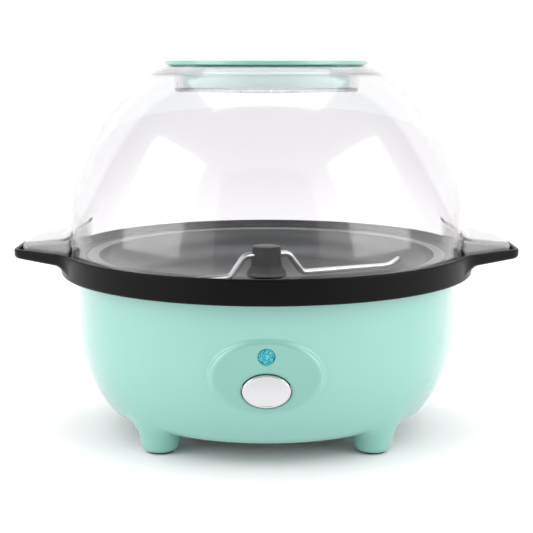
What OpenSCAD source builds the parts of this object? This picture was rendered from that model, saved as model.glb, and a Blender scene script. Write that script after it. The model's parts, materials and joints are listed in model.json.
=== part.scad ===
// Stirring popcorn maker: a bowl-shaped casing with a heated pan, a motor-driven stirring rod,
// a clear dome that doubles as the serving bowl, and a cap over the vents in the dome's top.
// Millimetres. The origin is on the table under the centre, +Z is up and the front faces -Y.

/* [Overall] */
// Height of the flat top of the cap above the table
top_z = 227.4; // [227:0.1:229]
// Outer radius of the rim ring
ring_r = 127; // [126.8:0.1:128]
// Distance from the centre to the tip of a handle
handle_tip = 155; // [154:0.5:158]

/* [Casing] */
// Radius of the casing just under the rim ring
bowl_r = 118; // [117.8:0.1:118.2]
// Radius where the straight wall meets the belly curve
belly_r = 117; // [116.8:0.1:117.4]
// Height where the straight wall meets the belly curve
belly_z = 68; // [67:0.5:69]
// Radius of the belly curve
belly_arc = 84; // [83:0.5:86]
// Radius of the curve between the belly and the flat floor
corner_arc = 14; // [13:0.5:15]
// Height of the flat underside of the casing
floor_z = 13.5; // [13:0.1:14]
// Thickness of the casing wall
wall = 2.6; // [2.4:0.1:2.8]
// Distance of each foot from the centre along X and along Y
foot_xy = 62.6; // [62:0.2:64]
// Radius of a foot at its bottom
foot_r = 10.8; // [10.5:0.1:12]
// Half width of the raised oval panel
panel_a = 31.6; // [31:0.1:33]
// Half height of the raised oval panel
panel_b = 21.8; // [21.5:0.1:22]
// Lean of the flat panel from upright
panel_lean = 10; // [9.5:0.1:10.5]

/* [Rim ring] */
// Height of the lower edge of the rim ring
ring_bottom = 99; // [98.5:0.1:99.5]
// Height of the ledge that the dome rests on
ledge_z = 110; // [109.9:0.1:110.1]
// Height of the raised lip round the ledge and the trays
lip_z = 113.7; // [113:0.1:115]
// Thickness of the lip
lip_t = 2.6; // [2.4:0.1:2.8]

/* [Dome] */
// Radius of the dome at its rim
dome_r = 123.2; // [123:0.1:123.4]
// Thickness of the dome
dome_t = 2.4; // [2.2:0.1:2.6]
// Radius of the dome's side curve in profile
side_arc = 150; // [149:0.5:151]
// Radius of the dome's shoulder curve in profile
shoulder_arc = 87.5; // [87:0.5:88]
// Angle at which the side curve turns into the shoulder curve
shoulder_a = 32.9; // [32.5:0.1:33.2]
// Radius of the vented recess in the dome's top
recess_r = 54; // [53.5:0.1:54.2]
// Height of the floor of the recess
recess_z = 211; // [210.5:0.1:211.5]

/* [Cap] */
// Radius of the cap's rim
cap_r = 62; // [61:0.5:64]
// Thickness of the cap's rim
cap_t = 2.4; // [2:0.1:2.6]
// Radius of the cap's skirt
skirt_r = 51.5; // [50:0.5:52]

/* [Pan and stirrer] */
// Height of the pan's cooking surface
pan_z = 92; // [91.5:0.1:92.4]
// Radius of the flat part of the cooking surface
pan_flat_r = 84; // [83:0.5:84.5]
// Radius of the curve from the cooking surface up to the pan's rim
pan_arc = 20; // [19.5:0.1:20.2]
// Radius of the drive shaft
shaft_r = 3; // [2.8:0.1:3]
// Radius of the stirring rod
rod_r = 2; // [1.6:0.1:2.2]
// Angle of the stirring rod from the X axis
stir_a = 24; // [0:1:60]

/* [Gear train] */
// Teeth of the two large gears
wheel_teeth = 48; // [48:12:48]
// Teeth of the two pinions
pinion_teeth = 12; // [12:12:12]
// Module of the gears on the output stage
slow_m = 0.7; // [0.68:0.01:0.7]
// Module of the gears on the rotor stage
fast_m = 0.5; // [0.48:0.01:0.5]

/* [Controls] */
// Half width of the power button
button_a = 13.4; // [13:0.1:14]
// Half height of the power button
button_b = 9.8; // [9.4:0.1:10]
// Height of the power button's centre
button_z = 49.6; // [49:0.1:51]
// Height of the indicator lens's centre
lens_z = 69.5; // [69:0.1:70]
// Radius of the indicator lens
lens_r = 4.6; // [4.4:0.1:4.8]
// Bore of the cord gland
gland_bore_r = 3.6; // [3.4:0.1:3.8]

/* [Hidden] */
$fn = 96;
MINT = [0.66, 0.87, 0.82];
BLACK = [0.08, 0.08, 0.09];
CLEAR = [0.9, 0.95, 0.97, 0.3];
STEEL = [0.7, 0.7, 0.72];
ALLOY = [0.6, 0.61, 0.63];
COPPER = [0.75, 0.42, 0.22];
WHITE = [0.93, 0.93, 0.94];
IVORY = [0.88, 0.86, 0.78];

// Casing
bowl_top = ledge_z - 2.6;
corner_a = asin((belly_z - floor_z - corner_arc) / (belly_arc - corner_arc));
belly_cx = belly_r - belly_arc;
corner_cx = belly_cx + (belly_arc - corner_arc) * cos(corner_a);
pad_proud = 0.8;
pad_h = 2.8;
pad_r = 8;
panel_z = 57.4;
panel_y = 115.1;
cover_r = 68;
cover_t = 2;
cover_screw_r = 64;
tie_r = 84;
tie_angles = [60, 180, 300];
column_top = 70;
tie_head_z = 60;

// Controls, measured in the panel's plane
button_drop = (panel_z - button_z) / cos(panel_lean);
lens_rise = (lens_z - panel_z) / cos(panel_lean);
button_gap = 0.5;
button_proud = 1.2;
dish_arc = 40;
dish_depth = 1;
flange_u = 4.2;
flange_t = 1.6;
plate_u = 15;
plate_t = 2;
plate_screw_x = 24;

// Rim ring and handle
shelf_z = ledge_z - 2;
shelf_in_r = 106.6;
shelf_out_r = 111.6;
handle_round = 12;
handle_half = 13;
handle_flare = 54;
handle_back = 44;
handle_fillet = 6;

// Dome
dome_c1 = [dome_r - side_arc, ledge_z + 1];
dome_c2 = dome_c1 + (side_arc - shoulder_arc) * [cos(shoulder_a), sin(shoulder_a)];
dome_top = top_z - 3.4;
ear_gap = 5;
ear_t = 2.2;
ear_round = 4;
ear_slope = 10.8;
ear_fillet = 12;
ear_edge = [handle_tip - 8.5, ledge_z + 3.8];
ear_root = [dome_r + 0.6, ledge_z + 24.5];
vent_count = 24;
vent_r = 43;
vent_step = 7;
vent_d = 2;

// Pan, element and stirrer
pan_t = 2.5;
pan_bottom = pan_z - pan_t;
pan_arc_z = pan_z + pan_arc;
element_ring_r = 66;
element_r = 4;
element_z = pan_bottom - 3.6;
element_gap_a = 20;
boss_ring_r = 45;
boss_angles = [80, 200, 320];
boss_bottom = 80;
hub_screen_z = pan_z + 2;
rod_floor_z = pan_z + rod_r + 0.6;
rod_top_z = 107.5;
rod_cross_x = 15;
shaft_top = 104;

// Gear train: the output axis is the Z axis
slow_centre = slow_m * (wheel_teeth + pinion_teeth) / 2;
fast_centre = fast_m * (wheel_teeth + pinion_teeth) / 2;
idler_xy = [slow_centre, 0];
rotor_xy = [slow_centre, fast_centre];
gearbox_xy = [12, 5];
gearbox_r = 34;
lid_screw_angles = [110, 258, 330];
bracket_screw_r = 22;
bracket_screw_angles = [30, 150, 270];
lid_top = 69;
lid_t = 2;
gearbox_bottom = 50;
motor_bottom = 24;
motor_r = 26;

// Wiring
lead_r = 1.2;
block_top = floor_z + 25.5;

// ---- Shared outlines and helpers ----

function arc(c, r, a0, a1, n) = [for (i = [0:n]) c + r * [cos(a0 + (a1 - a0) * i / n), sin(a0 + (a1 - a0) * i / n)]];

function reversed(v) = [for (i = [len(v) - 1:-1:0]) v[i]];

function oval(a, b) = [for (i = [0:63]) [a * cos(i * 360 / 64), b * sin(i * 360 / 64)]];

// Half profile of the casing, moved inwards by i, from the axis up to the height top
function bowl_profile(i, top) = concat(
    [[0, floor_z + i]],
    arc([corner_cx, floor_z + corner_arc], corner_arc - i, -90, -corner_a, 8),
    arc([belly_cx, belly_z], belly_arc - i, -corner_a, 0, 16),
    [[bowl_r - i, ring_bottom], [bowl_r - i, top], [0, top]]
);

// Curve of the dome's side and shoulder, moved inwards by i, up to the height z
function dome_curve(i, z) = concat(
    arc(dome_c1, side_arc - i, asin((ledge_z - dome_c1[1]) / (side_arc - i)), shoulder_a, 20),
    arc(dome_c2, shoulder_arc - i, shoulder_a, asin((z - dome_c2[1]) / (shoulder_arc - i)), 14)
);

// Plan of a handle, moved inwards by i
function handle_side(i) = concat(
    arc([handle_tip - handle_round, handle_half], handle_round - i, 0, handle_flare, 8),
    [[handle_tip - handle_round, handle_half]
        + (handle_round - i) * [cos(handle_flare), sin(handle_flare)]
        + handle_back * [-sin(handle_flare), cos(handle_flare)]]
);
function handle_plan(i) = concat(handle_side(i), reversed([for (p = handle_side(i)) [p[0], -p[1]]]));

// A gear's outline: tip, pitch and root points of each tooth, slimmed for backlash
function gear_outline(n, m) = [
    for (k = [0:n - 1])
        for (p = [[-1.15, -0.36], [0, -0.205], [0.85, -0.10], [0.85, 0.10], [0, 0.205], [-1.15, 0.36]])
            (n * m / 2 + p[0] * m) * [cos((k + p[1]) * 360 / n), sin((k + p[1]) * 360 / n)]
];

module tube(r_out, r_in, z0, z1) {
    translate([0, 0, z0])
        difference() {
            cylinder(h = z1 - z0, r = r_out);
            translate([0, 0, -1])
                cylinder(h = z1 - z0 + 2, r = r_in);
        }
}

function unit(v) = v / norm(v);

// A path with each inner corner rounded over the length b, in n steps
function round_bends(path, b, n) = concat(
    [path[0]],
    [
        for (i = [1:len(path) - 2])
            let (
                p = path[i],
                p0 = p + b * unit(path[i - 1] - p),
                p1 = p + b * unit(path[i + 1] - p)
            )
            for (k = [0:n])
                let (t = k / n)
                (1 - t) * (1 - t) * p0 + 2 * t * (1 - t) * p + t * t * p1
    ],
    [path[len(path) - 1]]
);

// A round tube of radius r swept along a path, as one closed solid
module swept_rod(path, r, sides = 8) {
    last = len(path) - 1;
    reference = [0.31, 0.53, 0.79];
    rings = [
        for (i = [0:last])
            let (
                t = unit(path[min(i + 1, last)] - path[max(i - 1, 0)]),
                u = unit(cross(t, reference)),
                v = cross(t, u)
            )
            for (k = [0:sides - 1])
                path[i] + r * (cos(k * 360 / sides) * u + sin(k * 360 / sides) * v)
    ];
    walls = [
        for (i = [0:last - 1])
            for (k = [0:sides - 1])
                let (a = i * sides + k, b = i * sides + (k + 1) % sides)
                for (f = [[a, a + sides, b + sides], [a, b + sides, b]])
                    f
    ];
    polyhedron(
        points = rings,
        faces = concat(walls, [[for (k = [0:sides - 1]) k], [for (k = [sides - 1:-1:0]) last * sides + k]])
    );
}

// Places children at radius r and each of the angles, turned to face outwards
module around(r, angles) {
    for (a = angles)
        rotate([0, 0, a])
            translate([r, 0, 0])
                children();
}

module at_feet() {
    for (x = [-foot_xy, foot_xy])
        for (y = [-foot_xy, foot_xy])
            translate([x, y, 0])
                children();
}

// Panel frame: local +Z runs into the casing, square to the flat panel, and local +Y runs down it
module at_panel(y) {
    translate([0, -panel_y, panel_z])
        rotate([panel_lean - 90, 0, 0])
            translate([0, y, 0])
                children();
}
module at_button() {
    at_panel(button_drop)
        children();
}
module at_lens() {
    at_panel(-lens_rise)
        children();
}

// A screw with a round head: the shank runs up from the head
module screw_up(head_z, head_h, head_r, shank_r, shank_len) {
    translate([0, 0, head_z])
        cylinder(h = head_h, r = head_r);
    translate([0, 0, head_z + head_h - 0.5])
        cylinder(h = shank_len + 0.5, r = shank_r);
}

// ---- Casing ----

module panel_block() {
    at_panel(0)
        linear_extrude(height = 12)
            polygon(oval(panel_a, panel_b));
}

// The casing in front of the panel's plane is cut away inside the oval
module panel_relief() {
    at_panel(0)
        translate([0, 0, -12])
            linear_extrude(height = 12)
                polygon(oval(panel_a, panel_b));
}

module casing_outside() {
    difference() {
        rotate_extrude()
            polygon(bowl_profile(0, bowl_top));
        panel_relief();
    }
    panel_block();
    at_feet()
        translate([0, 0, pad_proud])
            cylinder(h = 29, r1 = foot_r, r2 = foot_r + 4.4);
    translate([0, 107, 50])
        rotate([-90, 0, 0])
            cylinder(h = 10.5, r = 11);
}

module casing_inside() {
    rotate_extrude()
        polygon(bowl_profile(wall, bowl_top + 1));
    at_feet()
        translate([0, 0, 6])
            cylinder(h = 20, r1 = foot_r - 2.4, r2 = foot_r + 0.6);
}

module casing_bosses() {
    at_panel(0)
        translate([0, 0, 0.5])
            linear_extrude(height = 2.8)
                polygon(oval(panel_a - 2, panel_b - 2));
    around(tie_r, tie_angles)
        translate([0, 0, floor_z + 0.5])
            cylinder(h = column_top - floor_z - 0.5, r = 6);
    tube(cover_r + 4, cover_r - 9, floor_z + cover_t, floor_z + cover_t + 2.6);
    around(cover_screw_r, [0, 90, 180, 270])
        translate([0, 0, floor_z + cover_t])
            cylinder(h = 12.5, r = 4);
    at_button()
        for (x = [-plate_screw_x, plate_screw_x])
            translate([x, 0, 2.5])
                cylinder(h = plate_u - 2.5, r = 4);
    translate([0, 86, floor_z + 1])
        cylinder(h = 9.5, r = 6);
    translate([0, 107, 50])
        rotate([-90, 0, 0])
            cylinder(h = 8, r = 11);
}

module casing_openings() {
    translate([0, 0, floor_z - 1])
        cylinder(h = 8, r = cover_r - 9);
    translate([0, 0, floor_z - 1])
        cylinder(h = cover_t + 1, r = cover_r + 0.4);
    around(tie_r, tie_angles) {
        translate([0, 0, floor_z - 1])
            cylinder(h = tie_head_z - floor_z + 1, r = 4);
        translate([0, 0, tie_head_z - 1])
            cylinder(h = column_top - tie_head_z + 2, r = 2.3);
    }
    around(cover_screw_r, [0, 90, 180, 270])
        translate([0, 0, floor_z + cover_t - 1])
            cylinder(h = 11.5, r = 1.5);
    at_feet()
        translate([0, 0, pad_proud - 1])
            cylinder(h = pad_h - pad_proud + 1, r = pad_r + 0.1);
    at_button() {
        translate([0, 0, -6])
            linear_extrude(height = 14)
                polygon(oval(button_a + button_gap, button_b + button_gap));
        for (x = [-plate_screw_x, plate_screw_x])
            translate([x, 0, 8])
                cylinder(h = 8, r = 1.3);
    }
    at_lens()
        translate([0, 0, -6])
            cylinder(h = 14, r = lens_r + 0.15);
    translate([0, 86, floor_z + 3])
        cylinder(h = 9, r = 1.5);
    translate([0, 100, 50])
        rotate([-90, 0, 0])
            cylinder(h = 20, r = 6.5);
}

module housing() {
    color(MINT)
        difference() {
            union() {
                difference() {
                    casing_outside();
                    casing_inside();
                }
                casing_bosses();
            }
            casing_openings();
        }
}

module foot_pad(x, y) {
    color(BLACK)
        translate([x, y, 0]) {
            cylinder(h = 0.6, r1 = pad_r - 0.6, r2 = pad_r);
            translate([0, 0, 0.6])
                cylinder(h = pad_h - 0.6, r = pad_r);
        }
}

module bottom_cover() {
    color(BLACK)
        difference() {
            translate([0, 0, floor_z])
                cylinder(h = cover_t, r = cover_r);
            for (r = [22, 38])
                around(r, [for (i = [0:r / 2 - 1]) i * 720 / r])
                    translate([-1, -1.5, floor_z - 1])
                        cube([11, 3, cover_t + 2]);
            around(cover_screw_r, [0, 90, 180, 270])
                translate([0, 0, floor_z - 1])
                    cylinder(h = cover_t + 2, r = 1.8);
        }
}

module bottom_cover_screws() {
    color(STEEL)
        around(cover_screw_r, [0, 90, 180, 270])
            screw_up(floor_z - 1.8, 1.8, 3, 1.48, 11);
}

module tie_screws() {
    color(STEEL)
        around(tie_r, tie_angles)
            screw_up(tie_head_z - 3, 3, 3.6, 1.98, 24);
}

// ---- Rim ring with its two tray-shaped handles ----

module handle_block() {
    under = arc([ring_r + handle_fillet, ring_bottom + 1.6], handle_fillet, 90, 174, 8);
    difference() {
        intersection() {
            translate([0, 0, ring_bottom])
                linear_extrude(height = lip_z - ring_bottom)
                    polygon(handle_plan(0));
            rotate_extrude()
                polygon(concat(
                    [[110, lip_z], [handle_tip + 3, lip_z], [handle_tip + 3, ring_bottom + 9.1]],
                    under,
                    [[ring_r - 1, ring_bottom + 1.2], [110, ring_bottom + 1.2]]
                ));
        }
        translate([0, 0, ring_bottom - 1])
            cylinder(h = 20, r = ring_r - 1.3);
    }
}

module rim_ring() {
    skirt_in = ring_r - lip_t;
    color(BLACK)
        difference() {
            union() {
                rotate_extrude()
                    polygon(concat(
                        arc([ring_r - 1.5, ring_bottom + 1.5], 1.5, -90, 0, 4),
                        arc([ring_r - 1, lip_z - 1], 1, 0, 90, 3),
                        [
                            [skirt_in, lip_z], [skirt_in, ledge_z],
                            [shelf_out_r, ledge_z], [shelf_out_r, shelf_z],
                            [shelf_in_r, shelf_z], [shelf_in_r, bowl_top - 2],
                            [bowl_r - wall - 3.2, bowl_top - 2], [bowl_r - wall - 3.2, 94],
                            [bowl_r - wall - 0.4, 94], [bowl_r - wall - 0.4, bowl_top],
                            [skirt_in, bowl_top], [skirt_in, ring_bottom]
                        ]
                    ));
                around(bowl_r + 0.3, [for (i = [0:23]) 7.5 + i * 15])
                    translate([0, -0.8, ring_bottom + 2])
                        cube([skirt_in - bowl_r + 0.3, 1.6, bowl_top - ring_bottom - 1]);
                handle_block();
                mirror([1, 0, 0])
                    handle_block();
            }
            for (m = [0, 1])
                mirror([m, 0, 0])
                    translate([0, 0, ledge_z])
                        linear_extrude(height = 10)
                            polygon(handle_plan(lip_t));
        }
}

// ---- Pan, element and what hangs under them ----

module heating_pan() {
    pan_c = [pan_flat_r, pan_arc_z];
    color(ALLOY)
        difference() {
            union() {
                rotate_extrude()
                    polygon(concat(
                        [[5, pan_z + 4.5], [7.5, pan_z + 4.5], [9, pan_z]],
                        arc(pan_c, pan_arc, -90, asin((ledge_z - pan_arc_z) / pan_arc), 12),
                        [[shelf_out_r - 0.4, ledge_z], [shelf_out_r - 0.4, shelf_z]],
                        arc(pan_c, pan_arc + pan_t, asin((shelf_z - pan_arc_z) / (pan_arc + pan_t)), -90, 12),
                        [
                            [element_ring_r + 7, pan_bottom], [element_ring_r + 7, element_z],
                            [element_ring_r - 7, element_z], [element_ring_r - 7, pan_bottom],
                            [9, pan_bottom], [9, 84], [5, 84]
                        ]
                    ));
                around(tie_r, tie_angles)
                    translate([0, 0, column_top + 0.5])
                        cylinder(h = pan_z - column_top - 1.6, r = 5);
                around(boss_ring_r, boss_angles)
                    translate([0, 0, boss_bottom])
                        cylinder(h = pan_z - boss_bottom - 1.2, r = 5);
            }
            rotate_extrude()
                translate([element_ring_r, element_z])
                    circle(r = element_r + 0.1);
            around(tie_r, tie_angles)
                translate([0, 0, column_top - 1])
                    cylinder(h = 17, r = 2);
            around(boss_ring_r, boss_angles)
                translate([0, 0, boss_bottom - 1])
                    cylinder(h = 9, r = 2);
        }
}

module heating_element() {
    color(STEEL) {
        rotate([0, 0, 90 + element_gap_a])
            rotate_extrude(angle = 360 - 2 * element_gap_a)
                translate([element_ring_r, element_z])
                    circle(r = element_r);
        around(element_ring_r, [90 - element_gap_a, 90 + element_gap_a]) {
            translate([0, 0, element_z])
                sphere(r = element_r);
            translate([0, 0, 71])
                cylinder(h = element_z - 71, r = 1.5);
        }
    }
}

module heat_shield() {
    color(STEEL)
        difference() {
            translate([0, 0, boss_bottom - 1])
                cylinder(h = 1, r = tie_r - 6);
            translate([0, 0, boss_bottom - 2])
                cylinder(h = 3, r = 10);
            around(boss_ring_r, boss_angles)
                translate([0, 0, boss_bottom - 2])
                    cylinder(h = 3, r = 2.3);
            around(element_ring_r, [90 - element_gap_a, 90 + element_gap_a])
                translate([0, 0, boss_bottom - 2])
                    cylinder(h = 3, r = 5);
        }
}

module shield_spacers() {
    color(STEEL)
        around(boss_ring_r, boss_angles)
            tube(4.5, 2.3, lid_top + 2, boss_bottom - 1);
}

module motor_bracket() {
    color(STEEL)
        difference() {
            union() {
                translate([0, 0, lid_top])
                    cylinder(h = 2, r = 30);
                for (a = boss_angles)
                    rotate([0, 0, a])
                        translate([0, -8, lid_top])
                            cube([boss_ring_r, 16, 2]);
                around(boss_ring_r, boss_angles)
                    translate([0, 0, lid_top])
                        cylinder(h = 2, r = 8);
            }
            translate([0, 0, lid_top - 1])
                cylinder(h = 4, r = 6);
            around(boss_ring_r, boss_angles)
                translate([0, 0, lid_top - 1])
                    cylinder(h = 4, r = 2.3);
            translate([gearbox_xy[0], gearbox_xy[1], lid_top - 1])
                around(bracket_screw_r, bracket_screw_angles)
                    cylinder(h = 4, r = 1.7);
        }
}

module bracket_screws() {
    color(STEEL)
        around(boss_ring_r, boss_angles)
            screw_up(lid_top - 3, 3, 3.6, 1.98, 18);
}

module thermostat() {
    color(IVORY)
        translate([-26, -20, 0]) {
            translate([0, 0, 83])
                cylinder(h = pan_bottom - 83, r = 8);
            for (x = [-6, 4])
                translate([x, -13, 83.5])
                    cube([2, 26, 0.8]);
        }
}

module thermostat_clip() {
    color(STEEL)
        translate([-26, -20, 0])
            difference() {
                translate([-10, -4, 82])
                    cube([34, 8, 1]);
                translate([20, 0, 81])
                    cylinder(h = 3, r = 1.6);
            }
}

module thermal_fuse() {
    color(STEEL)
        translate([26, 30, pan_bottom - 2.1])
            rotate([0, 90, 150]) {
                translate([0, 0, -6])
                    cylinder(h = 12, r = 2);
                translate([0, 0, -14])
                    cylinder(h = 28, r = 0.5);
            }
}

module fuse_clip() {
    color(STEEL)
        translate([26, 30, 0])
            rotate([0, 0, 60])
                difference() {
                    union() {
                        translate([-13, -3, pan_bottom - 5.2])
                            cube([17, 6, 1]);
                        translate([-13, -3, pan_bottom - 5.2])
                            cube([7, 6, 5.2]);
                    }
                    translate([-9.5, 0, pan_bottom - 6])
                        cylinder(h = 7, r = 1.6);
                }
}

module clip_screws() {
    color(STEEL) {
        translate([-6, -20, 0])
            screw_up(80.2, 1.8, 2.6, 1.4, 7.4);
        translate([26 - 9.5 * cos(60), 30 - 9.5 * sin(60), 0])
            screw_up(pan_bottom - 7, 1.8, 2.6, 1.4, 5.1);
    }
}

// ---- Geared motor and stirrer ----

module gearbox_case() {
    color(BLACK)
        difference() {
            translate([gearbox_xy[0], gearbox_xy[1], gearbox_bottom])
                cylinder(h = lid_top - lid_t - gearbox_bottom, r = gearbox_r);
            difference() {
                translate([gearbox_xy[0], gearbox_xy[1], gearbox_bottom + 2])
                    cylinder(h = 20, r = gearbox_r - 2);
                translate([gearbox_xy[0], gearbox_xy[1], gearbox_bottom + 1])
                    around(gearbox_r - 4, lid_screw_angles)
                        cylinder(h = 20, r = 3);
            }
            translate([gearbox_xy[0], gearbox_xy[1], gearbox_bottom + 5])
                around(gearbox_r - 4, lid_screw_angles)
                    cylinder(h = 15, r = 1.3);
            translate([0, 0, gearbox_bottom - 1])
                cylinder(h = 5, r = shaft_r + 0.05);
            translate([idler_xy[0], idler_xy[1], gearbox_bottom - 1])
                cylinder(h = 5, r = 1.5);
            translate([rotor_xy[0], rotor_xy[1], gearbox_bottom - 1])
                cylinder(h = 5, r = 1.05);
        }
}

module gearbox_lid() {
    color(STEEL)
        difference() {
            translate([gearbox_xy[0], gearbox_xy[1], lid_top - lid_t])
                cylinder(h = lid_t, r = gearbox_r);
            translate([gearbox_xy[0], gearbox_xy[1], lid_top - lid_t - 1]) {
                around(gearbox_r - 4, lid_screw_angles) {
                    cylinder(h = 5, r = 1.5);
                    translate([0, 0, 1.4])
                        cylinder(h = 1.61, r1 = 1.3, r2 = 2.91);
                }
                around(bracket_screw_r, bracket_screw_angles)
                    cylinder(h = 5, r = 1.3);
            }
            translate([0, 0, lid_top - lid_t - 1])
                cylinder(h = 5, r = shaft_r + 0.05);
            translate([idler_xy[0], idler_xy[1], lid_top - lid_t - 1])
                cylinder(h = 5, r = 1.5);
        }
}

// Three screws hold the bracket to the lid, and three countersunk ones hold the lid to the case
module gearbox_screws() {
    color(STEEL)
        translate([gearbox_xy[0], gearbox_xy[1], 0]) {
            around(bracket_screw_r, bracket_screw_angles) {
                translate([0, 0, lid_top + 2])
                    cylinder(h = 1.8, r = 2.6);
                translate([0, 0, lid_top - lid_t])
                    cylinder(h = lid_t + 2.5, r = 1.28);
            }
            around(gearbox_r - 4, lid_screw_angles) {
                translate([0, 0, lid_top - 1.4])
                    cylinder(h = 1.3, r1 = 1.2, r2 = 2.5);
                translate([0, 0, gearbox_bottom + 6])
                    cylinder(h = lid_top - gearbox_bottom - 7, r = 1.25);
            }
        }
}

module motor_case() {
    color(STEEL)
        translate([rotor_xy[0], rotor_xy[1], 0])
            difference() {
                translate([0, 0, motor_bottom])
                    cylinder(h = gearbox_bottom - motor_bottom, r = motor_r);
                translate([0, 0, motor_bottom + 1.2])
                    cylinder(h = gearbox_bottom - motor_bottom, r = motor_r - 1.2);
                translate([0, 0, motor_bottom - 1])
                    cylinder(h = 5, r = 1.05);
            }
}

module stator_coil() {
    color(COPPER)
        translate([rotor_xy[0], rotor_xy[1], 0])
            tube(motor_r - 1.4, 12, motor_bottom + 2, gearbox_bottom - 3);
}

module rotor() {
    color(STEEL)
        translate([rotor_xy[0], rotor_xy[1], 0]) {
            translate([0, 0, motor_bottom + 4])
                cylinder(h = 17, r = 11);
            translate([0, 0, motor_bottom + 0.2])
                cylinder(h = 34, r = 1);
            translate([0, 0, 53])
                rotate([0, 0, 180 / pinion_teeth])
                    linear_extrude(height = 4)
                        polygon(gear_outline(pinion_teeth, fast_m));
        }
}

module idler_gear() {
    color(WHITE)
        translate([idler_xy[0], idler_xy[1], 0])
            difference() {
                union() {
                    translate([0, 0, 53])
                        linear_extrude(height = 4)
                            polygon(gear_outline(wheel_teeth, fast_m));
                    translate([0, 0, 56.5])
                        rotate([0, 0, 180 / pinion_teeth])
                            linear_extrude(height = 8.5)
                                polygon(gear_outline(pinion_teeth, slow_m));
                }
                translate([0, 0, 52])
                    cylinder(h = 14, r = 1.55);
            }
}

module idler_pin() {
    color(STEEL)
        translate([idler_xy[0], idler_xy[1], gearbox_bottom])
            cylinder(h = lid_top - gearbox_bottom, r = 1.5);
}

module output_gear() {
    color(WHITE)
        difference() {
            union() {
                translate([0, 0, 59])
                    linear_extrude(height = 6)
                        polygon(gear_outline(wheel_teeth, slow_m));
                translate([0, 0, 52.5])
                    cylinder(h = 8, r = 5.4);
            }
            translate([0, 0, 52])
                cylinder(h = 14, r = shaft_r);
        }
}

// The top of the shaft has a flat, so that the hub can't slip
module drive_shaft() {
    color(STEEL)
        difference() {
            translate([0, 0, gearbox_bottom + 0.3])
                cylinder(h = shaft_top - gearbox_bottom - 0.3, r = shaft_r);
            translate([shaft_r - 0.8, -5, 99])
                cube([5, 10, 10]);
        }
}

module shaft_bush() {
    color([0.72, 0.6, 0.35]) {
        tube(5, shaft_r + 0.05, 84, pan_z + 4.5);
        tube(6.8, shaft_r + 0.05, pan_z + 4.5, pan_z + 5.3);
    }
}

module shaft_seal() {
    color(BLACK)
        tube(6.4, shaft_r + 0.08, pan_z + 5.3, pan_z + 6.3);
}

module stirrer_hub() {
    color(BLACK)
        difference() {
            rotate_extrude()
                polygon(concat(
                    [[0, hub_screen_z], [12.6, hub_screen_z], [12.6, hub_screen_z + 2]],
                    [[9.8, 101], [9, 111]],
                    arc([7, 111], 2, 0, 90, 4),
                    [[0, 113]]
                ));
            translate([0, 0, hub_screen_z - 1])
                cylinder(h = pan_z + 6.7 - hub_screen_z + 1, r = 10.4);
            difference() {
                translate([0, 0, 90])
                    cylinder(h = shaft_top - 89.7, r = shaft_r + 0.05);
                translate([shaft_r - 0.75, -5, 99])
                    cube([5, 10, 12]);
            }
            rotate([0, 0, stir_a])
                translate([-20, 0, rod_top_z])
                    rotate([0, 90, 0])
                        cylinder(h = 40, r = rod_r + 0.05);
        }
}

// One bent rod: across the hub, down to the cooking surface on both sides, and up the pan's curve
module stirring_rod() {
    tip_r = pan_arc - rod_r - 0.6;
    half = [
        [rod_cross_x, rod_top_z], [rod_cross_x + 10, rod_floor_z], [pan_flat_r, rod_floor_z],
        [pan_flat_r + tip_r * cos(-68), pan_arc_z + tip_r * sin(-68)],
        [pan_flat_r + tip_r * cos(-46), pan_arc_z + tip_r * sin(-46)]
    ];
    color(STEEL)
        rotate([0, 0, stir_a])
            swept_rod(round_bends(
                concat(
                    reversed([for (p = half) [-p[0], 0, p[1]]]),
                    [for (p = half) [p[0], 0, p[1]]]
                ),
                3, 5
            ), rod_r, 16);
}

// ---- Switch, lamp and wiring ----

module power_button() {
    color(WHITE)
        at_button()
            difference() {
                union() {
                    translate([0, 0, -button_proud])
                        linear_extrude(height = button_proud + flange_u + 0.2)
                            polygon(oval(button_a, button_b));
                    translate([0, 0, flange_u])
                        linear_extrude(height = flange_t)
                            polygon(oval(button_a + 1.6, button_b + 1.6));
                    translate([0, 0, flange_u + 0.2])
                        cylinder(h = 16.6, r = 3);
                }
                translate([0, 0, dish_depth - button_proud - dish_arc])
                    sphere(r = dish_arc, $fn = 128);
                tube(button_b - 1.8, 4.5, 2, flange_u + flange_t + 0.6);
            }
}

module switch_plate() {
    color(BLACK)
        at_button()
            difference() {
                translate([-plate_screw_x - 6, -9, plate_u])
                    cube([2 * plate_screw_x + 12, 18, plate_t]);
                translate([0, 0, plate_u - 1])
                    cylinder(h = 4, r = 3.8);
                for (x = [-plate_screw_x, plate_screw_x])
                    translate([x, 0, plate_u - 1])
                        cylinder(h = 4, r = 1.6);
            }
}

module switch_body() {
    color(BLACK)
        at_button()
            difference() {
                union() {
                    translate([-9, -8, plate_u + plate_t])
                        cube([18, 16, 20]);
                    for (x = [-5, 4])
                        translate([x, -2.5, plate_u + plate_t + 19])
                            cube([1, 5, 8]);
                }
                translate([0, 0, plate_u + plate_t - 1])
                    cylinder(h = 12, r = 3.35);
            }
}

module switch_plate_screws() {
    color(STEEL)
        at_button()
            for (x = [-plate_screw_x, plate_screw_x])
                translate([x, 0, 0]) {
                    translate([0, 0, plate_u + plate_t])
                        cylinder(h = 1.6, r = 2.6);
                    translate([0, 0, 9])
                        cylinder(h = plate_u + plate_t - 8.5, r = 1.28);
                }
}

module indicator_lens() {
    color([0.25, 0.72, 0.82])
        at_lens() {
            intersection() {
                translate([0, 0, -2])
                    cylinder(h = flange_u + flange_t + 2, r = lens_r);
                translate([0, 0, 10.2])
                    sphere(r = 11);
            }
            translate([0, 0, flange_u])
                cylinder(h = flange_t, r = 6.6);
        }
}

module lamp_holder() {
    color(BLACK)
        at_lens()
            tube(5.9, 3.2, flange_u + flange_t, 21);
}

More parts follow.
